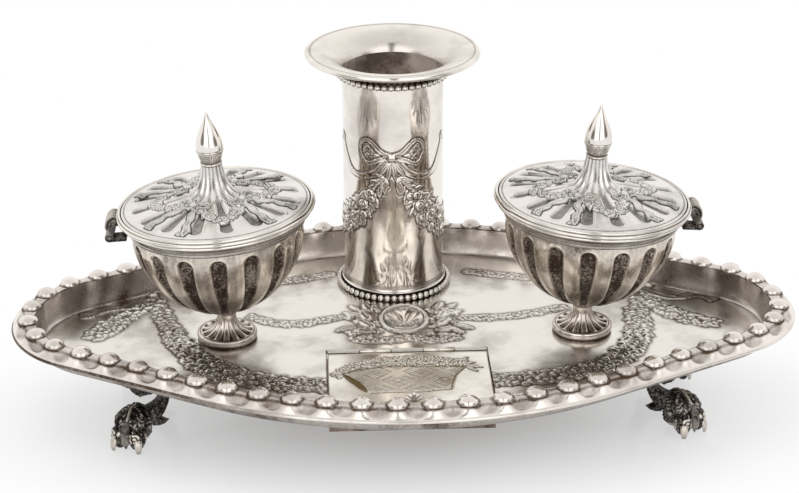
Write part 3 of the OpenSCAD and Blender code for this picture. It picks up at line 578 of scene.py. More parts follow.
def garland(field, x, y, knots, half_width, rise, seed, bloom=1.5):
    """Roses down the middle of a path and leaves towards its edges; half_width gives the
    half width at even steps along it."""
    dice = np.random.default_rng(seed)
    at, turn, share = along_path(knots, bloom * 1.15)
    half = np.interp(share, np.linspace(0, 1, len(half_width)), half_width)
    for p, angle, w in zip(at, turn, half):
        across = np.array([-np.sin(angle), np.cos(angle)])
        for side in (-1, 1):
            for _ in range(2):
                root = p + across * side * w * dice.uniform(0.25, 0.75)
                lean = angle + side * dice.uniform(0.4, 1.3)
                size = bloom * dice.uniform(1.5, 2.3)
                emboss(field, x, y, root, lean, size * 1.1,
                       leaf(size, bloom * dice.uniform(0.42, 0.6), rise * 0.8))
        for _ in range(max(int(round(w / bloom)), 1)):
            spot = p + across * w * 0.72 * dice.uniform(-1, 1) + dice.uniform(-0.3, 0.3, 2)
            size = bloom * dice.uniform(0.75, 1.15)
            set_rose(field, x, y, spot, size, rise * dice.uniform(0.85, 1.15),
                     dice.uniform(0, 6.3))


def ribbon(field, x, y, knots, half_width, rise, folds=3.0):
    """A flat band along a path with raised edges that rolls over in folds."""
    at, turn, share = along_path(knots, 0.5)
    for p, angle, t in zip(at, turn, share):
        w = half_width * (0.55 + 0.45 * abs(np.cos(np.pi * folds * t)))
        emboss(field, x, y, p, angle, w * 1.2 + 0.6, lambda a, b: rise * np.where(
            (np.abs(b) < w) & (np.abs(a) < 0.6),
            0.35 + 0.65 * np.clip(np.abs(b) / w, 0, 1) ** 3, 0))


def softened(field, cells, wrap=False):
    """The field smoothed twice by a running mean of 2 cells + 1 along both directions."""
    width = 2 * cells + 1
    for axis in (0, 1, 0, 1):
        padding = [(0, 0), (0, 0)]
        padding[axis] = (cells + 1, cells)
        mode = "wrap" if wrap and axis == 1 else "edge"
        total = np.cumsum(np.pad(field, padding, mode=mode), axis=axis)
        n = total.shape[axis]
        field = (np.take(total, range(width, n), axis) - np.take(total, range(n - width), axis))
        field = field / width
    return field


def chase(field, cells, depth, wrap=False, line=1.1):
    """Finish a raised field as a chaser does: a sunk line round every raised edge. Returns
    the height and the tone: line in the sunk line, and dark in every crease, where a point
    lies below the mean of those about it."""
    raised = (field > 0.04).astype(float)
    edge = softened(raised, max(cells // 2, 1), wrap) * (1 - raised) * 2
    height = field - depth * np.clip(edge, 0, 1)
    crease = np.clip((softened(height, 1, wrap) - height) / 0.07, 0, 1)
    return height, np.clip(line * np.clip(edge, 0, 1) + 0.85 * crease, 0, 1)


FLAP_LOW, FLAP_HIGH = box_mm("flap")
FLAP_GAP = 0.3
HOLE_X = FLAP_HIGH[0] + FLAP_GAP
HOLE_Y = (FLAP_LOW[1] - FLAP_GAP, FLAP_HIGH[1] + 0.2)


def outside_ridge(x, y):
    """How far a point lies outside the ridge line, and the outward normal there."""
    ax, ay = np.abs(x), np.abs(y)
    start = np.array([side_r * np.sin(SLOPE), side_r * np.cos(SLOPE) - side_y])
    run = (ax - start[0]) * np.cos(SLOPE) - (ay - start[1]) * np.sin(SLOPE)
    by_side = np.hypot(ax, ay + side_y)
    by_end = np.hypot(ax - end_x, ay)
    on_side, on_end = run < 0, run > straight_l
    far = np.where(on_side, by_side - side_r, np.where(
        on_end, by_end - END_R,
        (ax - start[0]) * np.sin(SLOPE) + (ay - start[1]) * np.cos(SLOPE)))
    nx = np.where(on_side, ax / by_side, np.where(on_end, (ax - end_x) / by_end, np.sin(SLOPE)))
    ny = np.where(on_side, (ay + side_y) / by_side,
                  np.where(on_end, ay / by_end, np.cos(SLOPE)))
    return far, nx * np.sign(x), ny * np.sign(y)


def snapped(values, *marks):
    """Even grid values with the nearest one moved onto each mark."""
    for mark in marks:
        values[np.argmin(np.abs(values - mark))] = mark
    return values


def floor_sheet(step, height, z, upward):
    """Grid over the floor inside the foot of the hollow curve, with the flap's opening left
    out; points beyond the foot are drawn in onto it. height(x, y) gives relief and tone."""
    reach_x, reach_y = EDGE_X - BORDER - HOLLOW + step, ridge_b - HOLLOW + step
    u = snapped(np.arange(-reach_x, reach_x + step, step), -HOLE_X, HOLE_X)
    v = snapped(np.arange(-reach_y, reach_y + step, step), *HOLE_Y)
    x, y = np.meshgrid(u, v)
    relief, tone = height(x, y)
    far, nx, ny = outside_ridge(x, y)
    over = np.clip(far + HOLLOW, 0, None)
    inner = over <= 0
    px, py = x - over * nx, y - over * ny
    fade = np.clip(-(far + HOLLOW) / 0.8, 0, 1)
    points = np.stack([px, py, z + relief * fade], -1).reshape(-1, 3)
    faces = grid_faces(len(v), len(u))
    middle_x = (u[:-1] + u[1:]) / 2
    middle_y = (v[:-1] + v[1:]) / 2
    in_hole = (np.abs(middle_x) < HOLE_X)[None] & (
        (middle_y > HOLE_Y[0]) & (middle_y < HOLE_Y[1]))[:, None]
    some_inner = inner[:-1, :-1] | inner[1:, :-1] | inner[:-1, 1:] | inner[1:, 1:]
    faces = faces[(some_inner & ~in_hole).reshape(-1)]
    used, faces = np.unique(faces, return_inverse=True)
    faces = faces.reshape(-1, 4)
    return points[used], faces[:, ::-1] if upward else faces, tone.reshape(-1)[used]


def floor_relief(x, y):
    """What is chased on the floor: garlands and ribbons at both sides, thin swags before
    and behind them, and the shell in its oval frame between acanthus sprays. The tone is
    dark in its lines, at the foot of the wall and on the sawn edge of the opening."""
    field = np.zeros_like(x)
    garland(field, x, y, [(-94, 33), (-90.3, 17), (-86.6, 5), (-83, -6), (-77.5, -16.5), (-71, -25),
                          (-62, -32), (-50, -37.5), (-30, -41)],
            [1.2, 2.2, 3, 4.2, 6, 6.6, 6, 5.2, 4.4], 0.85, 3, 1.7)
    garland(field, x, y, [(92, 27), (88.5, 14), (87.4, 2), (84.5, -11), (77, -24), (66, -33),
                          (50, -38), (31, -40)],
            [1.5, 3.4, 5, 5.4, 5.4, 5.2, 4.8, 4.4], 0.85, 4, 1.6)
    garland(field, x, y, [(-94.5, 33.5), (-98, 28.5), (-102, 22.5), (-106.1, 16.5), (-110.8, 10),
                          (-115.5, 1)], [1, 1.8, 3.2, 4.6, 5.8, 2.8], 0.85, 5, 1.6)
    garland(field, x, y, [(93.8, 29), (97, 19.5), (102, 11.5), (108.5, 5.5), (116, 2)],
            [1.2, 3.4, 4.8, 4.6, 2.2], 0.85, 6)
    garland(field, x, y, [(-58, 17), (-52, 12.2), (-44.7, 9.5), (-38, 9.2), (-31, 11.5), (-21, 15)],
            [1.2, 1.6, 2, 2, 1.7, 1.2], 0.6, 7, 1.1)
    garland(field, x, y, [(21, 11.5), (40, 12), (61, 19)], [1.2, 1.7, 2.1, 1.9, 1.4], 0.6, 8, 1.1)
    for side in (-1, 1):
        garland(field, x, y, [(side * 26, 54), (side * 48, 47), (side * 72, 45)],
                [1, 2, 2.4, 2, 1], 0.45, 9, 1.1)
    ribbon(field, x, y, [(-95.5, 36.5), (-99, 34), (-102.4, 29.6), (-105.9, 26.2), (-109.6, 25.6),
                         (-113.8, 24.4), (-117, 20.6), (-121.5, 19.5)], 2.4, 0.6)
    ribbon(field, x, y, [(-116.4, 21.8), (-118.6, 22.6), (-120.6, 22.4)], 1.2, 0.5, 0.5)
    ribbon(field, x, y, [(93.5, 33), (97, 30), (101.1, 26.4), (106.7, 24.8), (110.8, 26.4),
                         (114.8, 26.2), (119, 22)], 2.2, 0.6)
    for side in (-1, 1):
        emboss(field, x, y, (side * 96, 37), 0, 2.6, lambda a, b: 1.4 * np.sqrt(
            np.clip(1 - (a / 2.1) ** 2 - (b / 2.1) ** 2, 0, 1)))
    oval = np.hypot(x / 9.4, (y - 11.5) / 12.6)
    field = np.maximum(field, 0.95 * np.clip(1 - (np.abs(oval - 0.9) / 0.09) ** 2, 0, 1) ** 0.5)
    field = np.maximum(field, 0.6 * (oval < 0.8) * np.clip((0.8 - oval) / 0.06, 0, 1))
    foot = np.array([0.0, 3.5])
    fan = np.hypot(x - foot[0], y - foot[1])
    spread = np.arctan2(x - foot[0], y - foot[1])
    shell_edge = 15.5 * (1 - 0.16 * (spread / 1.1) ** 2)
    ribs = 0.55 + 0.45 * np.abs(np.cos(spread * 5.2))
    shell = (np.abs(spread) < 1.15) * (fan < shell_edge) * (oval < 0.76)
    field = np.maximum(field, shell * (0.6 + 1.6 * ribs * np.sin(
        np.pi * np.clip(fan / shell_edge, 0, 1)) ** 0.6))
    dice = np.random.default_rng(11)
    for side in (-1, 1):
        for root, lean, size, wide in (
                ((11, 1), 0.2, 9, 2.3), ((11, 4), 0.9, 11, 2.5), ((13, 10), 1.25, 11, 2.4),
                ((15, 14), 0.5, 9, 2.1), ((12, 18), 1.2, 9, 2.0), ((18, 6), -0.5, 9, 2.2),
                ((16, 19), 0.9, 7, 1.7), ((12, -2), -0.4, 7, 1.8), ((18, 3), -1.1, 6, 1.7)):
            angle = lean if side > 0 else np.pi - lean
            emboss(field, x, y, (side * root[0], root[1]), angle, size * 1.05,
                   leaf(size, wide * 0.9, 0.75))
        for _ in range(26):
            spot = (side * dice.uniform(9, 21), dice.uniform(-5, 23))
            size = dice.uniform(0.9, 1.6)
            emboss(field, x, y, spot, 0, size, rose(size, 0.8, dice.uniform(0, 6)))
    garland(field, x, y, [(-19, -5), (-8, -6.5), (0, -4.5), (8, -6.5), (19, -5)],
            [0.8, 1.8, 2.2, 1.8, 0.8], 0.6, 12, 1.15)
    height, tone = chase(field, 2, 0.08, line=0.55)
    unrest = 0.05 * np.sin(x / 7.3 + 1.2 * np.sin(y / 9)) * np.sin(y / 6.1 + 0.7)
    ground = softened((field > 0.04).astype(float), 3)
    near_wall = np.exp(-np.clip(-(outside_ridge(x, y)[0] + HOLLOW), 0, None) / 1.2)
    tone = 0.72 * tone + 0.2 * ground * (field < 0.3) + 0.5 * near_wall
    sawn = (np.abs(np.abs(x) - HOLE_X) < 0.3) & (y > HOLE_Y[0] - 1) & (y < HOLE_Y[1] + 0.3)
    return height + unrest, np.clip(np.where(sawn, 1, tone), 0, 1)


floor_top = floor_sheet(FLOOR_STEP, floor_relief, FLOOR_Z, True)
under = floor_sheet(UNDER_STEP, lambda x, y: (0 * x, 0 * x + 0.35), FLOOR_Z - SHEET, False)

# Planished flat and wiped often: pale, with brown cloudy stains where it was not.
floor_silver = silver_plate("polished tray plate", "#E4E1DC", "#64544A", 0.12, 34, 0.42, 0.10)
make_piece("tray_floor", [floor_top, under], "stand", floor_silver, ["tray"])


# ---------------------------------------------------------------- Stamp flap
# A plate of the same silver closes the stamp box. The second and fourth knuckles of its
# hinge are rolled from its back edge. A wicker basket of flowers is chased on it.

FLAP_STEP = 0.25
PLATE_BACK = FLAP_HIGH[1] - 2.5
PLATE_FRONT = FLAP_LOW[1]
KNUCKLE_R = FLAP_HIGH[2] - FLOOR_Z
HINGE_Y = JOINTS["flap_hinge"]["pos_m"][1] / MM
KNUCKLES = 5


def circled(r, turn, z):
    """Points at radii r and heights z, turned by the angles turn round Z."""
    return np.stack(np.broadcast_arrays(r * np.cos(turn), r * np.sin(turn), z), -1)


def turned(profile, columns, tone=0.0):
    """A profile of (radius, height, tone or nothing) turned round Z; read from the top down
    on the outside and up again on the inside, its faces look out of the metal."""
    profile = np.asarray(profile, float)
    turn = np.arange(columns) / columns * 2 * np.pi
    points = circled(profile[:, :1], turn, profile[:, 1:2]).reshape(-1, 3)
    shade = profile[:, 2] if profile.shape[1] > 2 else np.full(len(profile), tone)
    return points, grid_faces(len(profile), columns, True), np.repeat(shade, columns)


def placed(part, turn=None, at=(0, 0, 0)):
    """A part turned by a 3 x 3 matrix and then moved."""
    points = part[0] if turn is None else part[0] @ np.asarray(turn).T
    return points + np.asarray(at, float), part[1], part[2]


ALONG_X = [[0, 0, 1], [1, 0, 0], [0, 1, 0]]
STRAND_PITCH = 8.2


def flap_relief(x, y):
    """The basket: a woven ground sunk between rim, sides and base, with a garland on its
    rim that trails over both ends. Its strands are pairs of fine raised lines between sunk
    ones, and each strand shows only in every second cell it crosses."""
    field = np.zeros_like(x)
    garland(field, x, y, [(-27, -33.6), (-22, -28.6), (-14, -24.6), (-4, -22.9), (6, -23),
                          (14, -24.4), (20, -25.6)],
            [0.6, 1.5, 2.6, 3.3, 3.4, 2.6, 1.4], 0.42, 21, 1.05)
    for root, lean, size in (
            ((18.5, -24.6), 0.8, 5.0), ((19, -26.2), 0.1, 5.4), ((20, -27), -0.4, 7.4),
            ((20.6, -28.3), -0.85, 6.0), ((-24, -31), 3.7, 4.6), ((-24, -33), 4.3, 3.6)):
        emboss(field, x, y, root, lean, size, leaf(size, 0.75, 0.35))
    rim = np.interp(x, [-24.7, -20.4, -13.9, -4.9, 7.7, 20.2],
                    [-32.4, -30.2, -28.2, -27.1, -27.7, -28.6])
    base = np.interp(x, [-14, 4, 15.5], [-47.4, -47.2, -45.6])
    left = np.interp(y, [-47.4, -40.4, -36.4, -33.2], [-14.2, -17, -19.8, -21.6])
    right = np.interp(y, [-45.1, -41.3, -35.2, -29.9], [14.5, 15.1, 16.5, 19.8])
    inside = (x > left) & (x < right) & (y < rim) & (y > base)
    cut, wires = np.zeros_like(x), np.zeros_like(x)
    for lean in (-1, 1):
        across = (x - lean * 1.25 * (y + 38)) / STRAND_PITCH
        along = (x + lean * 1.25 * (y + 38)) / STRAND_PITCH
        shows = np.floor(along + 0.25 * lean) % 2
        off = np.abs(across - np.round(across)) * 5.1
        wires = np.maximum(wires, np.exp(-((off - 0.55) / 0.27) ** 2) * shows * inside)
        cut = np.maximum(cut, 0.16 * (np.exp(-(off / 0.2) ** 2)
                                      + np.exp(-((off - 1.15) / 0.24) ** 2)) * shows * inside)
    for line, reach, between in ((y - rim, 0.25, (x > left) & (x < right)),
                                 (y - base, 0.25, (x > left) & (x < right)),
                                 (x - right, 0.35, (y < rim) & (y > base))):
        cut = np.maximum(cut, 0.26 * np.exp(-(line / reach) ** 2) * between)
    band = np.exp(-((y - base - 0.9) / 0.45) ** 2) * (x > left) * (x < right)
    sweep = np.interp(y, [-46.8, -40.4, -36.4, -32.8], [-15.6, -18.6, -21.2, -23.2])
    sweep = (x - sweep) / (1.7 * np.sqrt(np.clip(1 - ((y + 39.8) / 7) ** 2, 1e-4, 1)))
    crescent = np.clip(1 - sweep ** 2, 0, 1) * (np.abs(y + 39.8) < 7)
    height, tone = chase(field, 2, 0.1, line=0.9)
    height = height - cut - 0.4 * np.sqrt(crescent) - 0.06 * inside + 0.2 * band + 0.15 * wires
    stain = softened((field > 0.04).astype(float), 6)
    tone = (1.7 * tone + 2.8 * cut + 0.32 * inside * (1 - band) * (1 - wires)
            + 0.35 * stain * (field < 0.04) + 0.95 * (crescent > 0))
    return height, np.clip(tone, 0, 1)


u = np.arange(FLAP_LOW[0], FLAP_HIGH[0] + FLAP_STEP / 2, FLAP_STEP)
v = np.arange(PLATE_FRONT, PLATE_BACK + FLAP_STEP / 2, FLAP_STEP)
u[-1], v[-1] = FLAP_HIGH[0], PLATE_BACK
x, y = np.meshgrid(u, v)
relief, tone = flap_relief(x, y)
border_fade = np.clip(np.minimum(np.minimum(x - u[0], u[-1] - x),
                                 np.minimum(y - v[0], v[-1] - y)) / 0.6, 0, 1)
tone = np.maximum(tone, 1.25 - 1.6 * border_fade)
plate_top = (np.stack([x, y, FLOOR_Z + relief * border_fade], -1).reshape(-1, 3),
             grid_faces(len(v), len(u))[:, ::-1], tone.reshape(-1))
corner_x = np.array([u[0], u[-1], u[-1], u[0]])
corner_y = np.array([v[0], v[0], v[-1], v[-1]])
skirt = np.concatenate([np.stack([corner_x, corner_y, np.full(4, z)], -1)
                        for z in (FLOOR_Z, FLOOR_Z - SHEET)])
plate_side = skirt, grid_faces(2, 4, True), 0.5
plate_under = skirt[4:], np.array([[3, 2, 1, 0]]), 0.4

KNUCKLE_GAP = 0.2
KNUCKLE_L = (FLAP_HIGH[0] - FLAP_LOW[0]) / KNUCKLES - KNUCKLE_GAP
BORE_SHARE = 0.45
CHAMFER = 0.12


def knuckle_start(which):
    """Where a knuckle begins along the hinge."""
    return FLAP_LOW[0] + which * (KNUCKLE_L + KNUCKLE_GAP) + KNUCKLE_GAP / 2


def knuckle(which):
    """One rolled knuckle along the hinge, with chamfered ends."""
    bore, inner = KNUCKLE_R * BORE_SHARE, KNUCKLE_R - CHAMFER
    profile = [(bore, KNUCKLE_L, 0.9), (inner, KNUCKLE_L, 0.8),
               (KNUCKLE_R, KNUCKLE_L - CHAMFER, 0.3), (KNUCKLE_R, KNUCKLE_L / 2, 0.1),
               (KNUCKLE_R, CHAMFER, 0.3), (inner, 0, 0.8), (bore, 0, 0.9)]
    return placed(turned(profile, 24), ALONG_X, (knuckle_start(which), HINGE_Y, FLOOR_Z))


def tongue(which):
    """The strip of the plate that runs back into a knuckle."""
    reach = HINGE_Y - PLATE_BACK - 0.5
    outline = np.array([(0, 0), (KNUCKLE_L, 0), (KNUCKLE_L, reach), (0, reach)])
    top = np.concatenate([outline + (knuckle_start(which), PLATE_BACK),
                          np.full((4, 1), FLOOR_Z - 0.05)], 1)
    low = top - (0, 0, SHEET - 0.05)
    return (np.concatenate([top, low]),
            np.concatenate([[[0, 1, 2, 3], [7, 6, 5, 4]], grid_faces(2, 4, True)]), 0.5)


# Fingers kept it bright; what is left in its lines has turned gold instead of brown.
flap_silver = silver_plate("gold-stained flap plate", "#EAE7E0", "#73603F", 0.13, 30, 0.3, 0.08)
make_piece("stamp_flap", [
    plate_top, plate_side, plate_under, knuckle(1), knuckle(3), tongue(1), tongue(3)],
    "flap", flap_silver, ["flap"])


# ---------------------------------------------------------------- Thumb-piece
# A small cast shell on a round seat, soldered at the front edge of the flap, which lifts
# it. Five swelling ribs fan out from the seat, worn bright at their tips.

thumb_low, thumb_high = box_mm("flap_thumbpiece")
thumb_at = np.array([(thumb_low[0] + thumb_high[0]) / 2, thumb_low[1] + 1.5, FLOOR_Z])
LEAN = np.radians(-20)
lean_back = np.array([[1, 0, 0], [0, np.cos(LEAN), -np.sin(LEAN)], [0, np.sin(LEAN), np.cos(LEAN)]])
thumb_rib = turned([(0.01, 3.85, 0), (0.5, 3.7, 0), (0.82, 3.35, 0), (0.95, 2.8, 0.05),
                    (0.78, 1.8, 0.1), (0.5, 0.4, 0.5), (0.01, 0.3, 1)], 20)
thumb_seat = turned([(0.01, 0.85, 0.2), (1.2, 0.8, 0.2), (1.5, 0.5, 0.1), (1.5, 0.0, 0.6)], 24)
thumb_parts = [placed(thumb_seat, None, thumb_at)]
for fan in np.radians([-62, -31, 0, 31, 62]):
    fan_turn = np.array([[np.cos(fan), 0, np.sin(fan)], [0, 1, 0], [-np.sin(fan), 0, np.cos(fan)]])
    thumb_parts.append(placed(thumb_rib, fan_turn @ lean_back, thumb_at + (0, 0, 0.6)))
make_piece("thumbpiece", thumb_parts, "flap", chased_silver, ["flap_thumbpiece"])


# ---------------------------------------------------------------- Quill holder tube
# A drawn tube of silver, polished like a mirror outside and browned inside. A ribbon bow is
# chased on its front and one on its back, and swags of roses hang from bow to bow.

tube_low, tube_high = box_mm("holder_tube")
TUBE_R = (tube_high[0] - tube_low[0]) / 2
TUBE_AT = ((tube_low[0] + tube_high[0]) / 2, (tube_low[1] + tube_high[1]) / 2, FLOOR_Z)
TUBE_Z = (tube_low[2] - FLOOR_Z, tube_high[2] - FLOOR_Z)
TUBE_WALL = 1.0
BOW_TURN = np.radians(-93.6)
KNOT_Z = 58.2
TUBE_COLUMNS = 456
# Depth in mm of the band painted dark as shade behind the top beads.
BEAD_SHADE = 2.8


def groove(cut, x, y, knots, half_width, depth):
    """Sink a line of round section along a path into a field of depths."""
    at, turn, _ = along_path(knots, 0.35)
    for p, angle in zip(at, turn):
        emboss(cut, x, y, p, angle, half_width * 2.2,
               lambda a, b: depth * np.exp(-(b / half_width) ** 2) * (np.abs(a) < 0.5))


def bow(field, cut, u, z, at):
    """A ribbon bow on the unrolled tube: two open loops with mesh-chased insides, a round
    knot and two long tails that sweep down, out and up again."""
    for side in (-1, 1):
        def path(*knots):
            return [(at + side * a, b) for a, b in knots]
        ribbon(field, u, z, path((1.0, 58.9), (4.3, 60.4), (7.2, 63.2), (9.8, 64.6), (11.9, 63.4),
                                 (12.6, 60.3), (11.8, 57.2), (10.0, 55.5), (7, 56.2), (4, 57.5),
                                 (1.2, 58.0)), 0.95, 0.42, 1)
        ribbon(field, u, z, path((1.2, 57.0), (4.6, 53.6), (7.6, 51.4), (10.5, 50.2), (14.7, 49.8),
                                 (18.6, 51.6), (21.2, 54.8), (23.8, 58.6), (25.4, 61.6)),
               1.7, 0.3, 1)
        ribbon(field, u, z, path((25.4, 61.6), (25.0, 63.6), (23.6, 62.6)), 0.6, 0.3, 1)
        for tilt in (-1, 1):
            for shift in (-2.2, 0, 2.2):
                middle = (9.6 + shift * 0.7, 60.0 + shift * tilt * 0.7)
                groove(cut, u, z, path((middle[0] - 1.7, middle[1] + 1.7 * tilt), middle,
                                       (middle[0] + 1.7, middle[1] - 1.7 * tilt)), 0.2, 0.16)
        groove(cut, u, z, path((2.2, 58.6), (5, 59.4), (7.4, 59.6)), 0.2, 0.22)
        groove(cut, u, z, path((2.2, 58.0), (4.4, 58.2), (6.4, 58.0)), 0.2, 0.2)
    emboss(field, u, z, (at, KNOT_Z), 0, 2.4, lambda a, b: 0.8 * np.sqrt(
        np.clip(1 - (a / 1.8) ** 2 - (b / 1.7) ** 2, 0, 1)))


def half_swag(field, u, z, at, side, seed):
    """From the knot: four long pointed leaves, then leaves and roses that spread from 1.4
    to 4.4 mm either side of the stem, out to the side of the tube, where the swag hangs
    lowest."""
    dice = np.random.default_rng(seed)
    stem = [(at + side * a, b) for a, b in (
        (1.2, 53), (3.2, 49.5), (6.0, 45.5), (9.6, 40.5), (15.9, 33), (23, 28), (30.2, 26.4))]
    at_path, turn, share = along_path(stem, 1.5)
    for root, lean, size in (((0.4, 56.4), -1.4, 8.0), ((1.0, 56.2), -0.95, 7.5),
                             ((2.2, 50.5), -1.5, 7.5), ((2.8, 50.5), -0.75, 6.5)):
        emboss(field, u, z, (at + side * root[0], root[1]), lean if side > 0 else np.pi - lean,
               size, leaf(size, 1.05, 0.5))
    for p, angle, t in zip(at_path[2:], turn[2:], share[2:]):
        reach = np.interp(t, [0, 0.25, 0.5, 1], [0.3, 1.4, 3.4, 4.4])
        across = np.array([-np.sin(angle), np.cos(angle)])
        for way in (-1, 1):
            for _ in range(1 if t < 0.25 else 2):
                size = dice.uniform(3.2, 5.2)
                emboss(field, u, z, p + across * way * reach * dice.uniform(0.1, 0.8),
                       angle + way * dice.uniform(0.3, 1.3), size,
                       leaf(size, dice.uniform(0.75, 1.15), 0.5))
    for t, across, size in (
            (0.3, -0.9, 1.6), (0.36, 1.1, 1.5), (0.47, -0.2, 2.3), (0.55, 2.6, 1.7),
            (0.56, -2.8, 1.6), (0.66, 0.3, 2.7), (0.73, -3.6, 1.9), (0.76, 3.6, 1.8),
            (0.84, 0.2, 2.6), (0.91, -3.6, 2.0), (0.93, 3.4, 1.9), (1.0, 0, 2.4)):
        i = int(t * (len(at_path) - 1))
        spot = at_path[i] + across * np.array([-np.sin(turn[i]), np.cos(turn[i])])
        set_rose(field, u, z, spot, size, 0.8, dice.uniform(0, 6))
    for _ in range(16):
        i = dice.integers(len(at_path) // 2, len(at_path))
        spot = at_path[i] + dice.uniform(-1, 1, 2) * (1.5, 5.4)
        lean = dice.uniform(-2.6, -0.6) if spot[1] < at_path[i][1] else dice.uniform(0.6, 2.6)
        emboss(field, u, z, spot, lean, 4.4, leaf(dice.uniform(2.8, 4.2), 0.85, 0.45))


def tube_surface():
    """Outer wall: radius TUBE_R plus relief over (arc, height); a band behind the beads at its
    top is painted dark as shade."""
    half_round = np.pi * TUBE_R
    rows = np.concatenate([TUBE_Z[1] - np.array([0, 2.7, 2.85, 3.4]),
                           np.linspace(TUBE_Z[1] - 6, 68, 6)[:-1], np.linspace(68, 18, 180),
                           np.linspace(18, TUBE_Z[0], 8)[1:]])
    turn = np.arange(TUBE_COLUMNS) / TUBE_COLUMNS * 2 * np.pi - np.pi
    u, z = np.meshgrid(turn * TUBE_R, rows)
    field, cut = np.zeros_like(u), np.zeros_like(u)
    for i in range(-1, 2):
        half_swag(field, u, z, i * half_round, 1, 30 + i % 2)
        half_swag(field, u, z, i * half_round, -1, 40 + i % 2)
        bow(field, cut, u, z, i * half_round)
    height, tone = chase(field, 2, 0.2, True)
    r = TUBE_R - 0.12 + height - cut
    angle = turn + BOW_TURN
    # Painted shade: a band BEAD_SHADE mm deep under the top beads is painted dark.
    tone = np.clip(tone + 2.5 * cut + 0.95 * (z > TUBE_Z[1] - BEAD_SHADE), 0, 1)
    return (circled(r, angle, z).reshape(-1, 3), grid_faces(len(rows), TUBE_COLUMNS, True),
            tone.reshape(-1))


# The smoothest metal here: it mirrors the wells and the panels in upright bands.
tube_silver = silver_plate("mirror-polished tube plate", "#EFE9E2", "#4E4036", 0.035, 30, 0.25, 0.1)
make_piece("quill_tube", [placed(tube_surface(), None, TUBE_AT)], "stand", tube_silver,
           ["holder_tube"])

# The bore was never polished: a smooth brown skin that shows soft light and no image.
bore_silver = silver_plate("browned tube bore", "#BAAFA6", "#5E5049", 0.42, 20, 0.6, 0.05)
bore_wall = [(TUBE_R, TUBE_Z[0]), (TUBE_R - TUBE_WALL, TUBE_Z[0]),
             (TUBE_R - TUBE_WALL, TUBE_Z[1]), (TUBE_R, TUBE_Z[1])]
make_piece("tube_bore", [placed(turned(bore_wall, 96, 0.3), None, TUBE_AT)], "stand", bore_silver,
           ["holder_tube"])


# ---------------------------------------------------------------- Quill holder base and mouth
# A spun base and a spun trumpet mouth are soldered to the ends of the tube. A ring of cast
# beads covers each joint, and the edge of the mouth is rolled outwards.

mouth_high = box_mm("holder_mouth")[1]
MOUTH_R = mouth_high[0] - TUBE_AT[0]
MOUTH_Z = mouth_high[2] - FLOOR_Z
LIP_ROLL = 1.1
THROAT_ANGLE = 0.25
BEAD_R = 1.2
BEAD_SPACE = 0.15


def mouth_profile():
    """Section of the trumpet from the throat inside, over the rolled lip, down the outside:
    the outer curve is a quarter of an ellipse, and the inner one starts THROAT_ANGLE up
    such a quarter, which leaves an edge at the throat."""
    a = np.linspace(0, np.pi / 2, 18)
    start = THROAT_ANGLE
    b = np.linspace(start, np.pi / 2, 18)
    out = MOUTH_R - LIP_ROLL
    rise = MOUTH_Z - LIP_ROLL - TUBE_Z[1]
    bore = TUBE_R - TUBE_WALL
    # Painted shade: the inside darkens down into the throat.
    inside = np.stack([bore + (out - bore - 0.5) * (np.cos(start) - np.cos(b)) / np.cos(start),
                       TUBE_Z[1] + (rise + 0.95) * (np.sin(b) - np.sin(start))
                       / (1 - np.sin(start)),
                       0.35 - 0.35 * (a / a[-1]) ** 0.5], -1)
    # A painted dark line where the inside meets the rolled lip, to make the lip stand out.
    inside[-1, 2] = 0.6
    roll = np.linspace(np.pi * 0.62, -np.pi * 0.9, 16)
    lip = np.stack([out + LIP_ROLL * np.cos(roll), MOUTH_Z - LIP_ROLL + LIP_ROLL * np.sin(roll),
                    0 * roll], -1)
    # Painted shade: the outside darkens down under the flare towards the beads.
    outside = np.stack([TUBE_R + (out - TUBE_R - 0.8) * (1 - np.cos(a)),
                        TUBE_Z[1] + (rise - 0.3) * np.sin(a), 0.3 + 0.6 * np.cos(a) ** 2], -1)[::-1]
    return np.concatenate([inside, lip, outside])


def base_profile():
    """Section of the base from the tube down: a hollow curve, a rounded lip over the beads,
    then the foot band behind them, painted fully dark as shade behind the beads."""
    a = np.linspace(np.pi / 2, 0, 12)
    z_top, lip = TUBE_Z[0], 2 * BEAD_R + 0.3
    flare = TUBE_R + 0.9
    hollow = np.stack([flare - 0.2 - (flare - 0.2 - TUBE_R) * np.sin(a),
                       lip + 0.5 + (z_top - lip - 0.5) * (1 - np.cos(a)), 0.35 * np.sin(a)], -1)
    edge = [(flare, lip + 0.38, 0), (flare, lip + 0.12, 0), (flare - 0.2, lip, 0.4)]
    # The foot band is painted dark: painted shade behind the beads.
    foot = [(TUBE_R + 0.6, lip, 1), (TUBE_R + 0.6, 0.02, 1)]
    return np.concatenate([hollow, edge, foot])


def bead_ring(radius, z, count, tone):
    """A row of round beads on a circle, each a ball of 8 rings, with painted shade on its side
    towards the axis.
    """
    latitude = np.linspace(np.pi / 2 - 0.02, -np.pi / 2 + 0.02, 8)
    ball, faces, _ = turned(BEAD_R * np.stack([np.cos(latitude), np.sin(latitude)], -1), 10)
    turn = np.arange(count)[:, None] / count * 2 * np.pi
    x = ball[None, :, 0] + radius
    points = np.stack([x * np.cos(turn) - ball[None, :, 1] * np.sin(turn),
                       x * np.sin(turn) + ball[None, :, 1] * np.cos(turn),
                       z + ball[None, :, 2] + 0 * turn], -1)
    faces = (faces[None] + (np.arange(count) * len(ball))[:, None, None]).reshape(-1, 4)
    # Painted shade: each bead darkens on its side towards the tube.
    painted_shade_inward = np.clip(-ball[:, 0] / BEAD_R * 0.9, 0, 1)
    return points.reshape(-1, 3), faces, np.tile(np.clip(tone * painted_shade_inward, 0, 1), count)


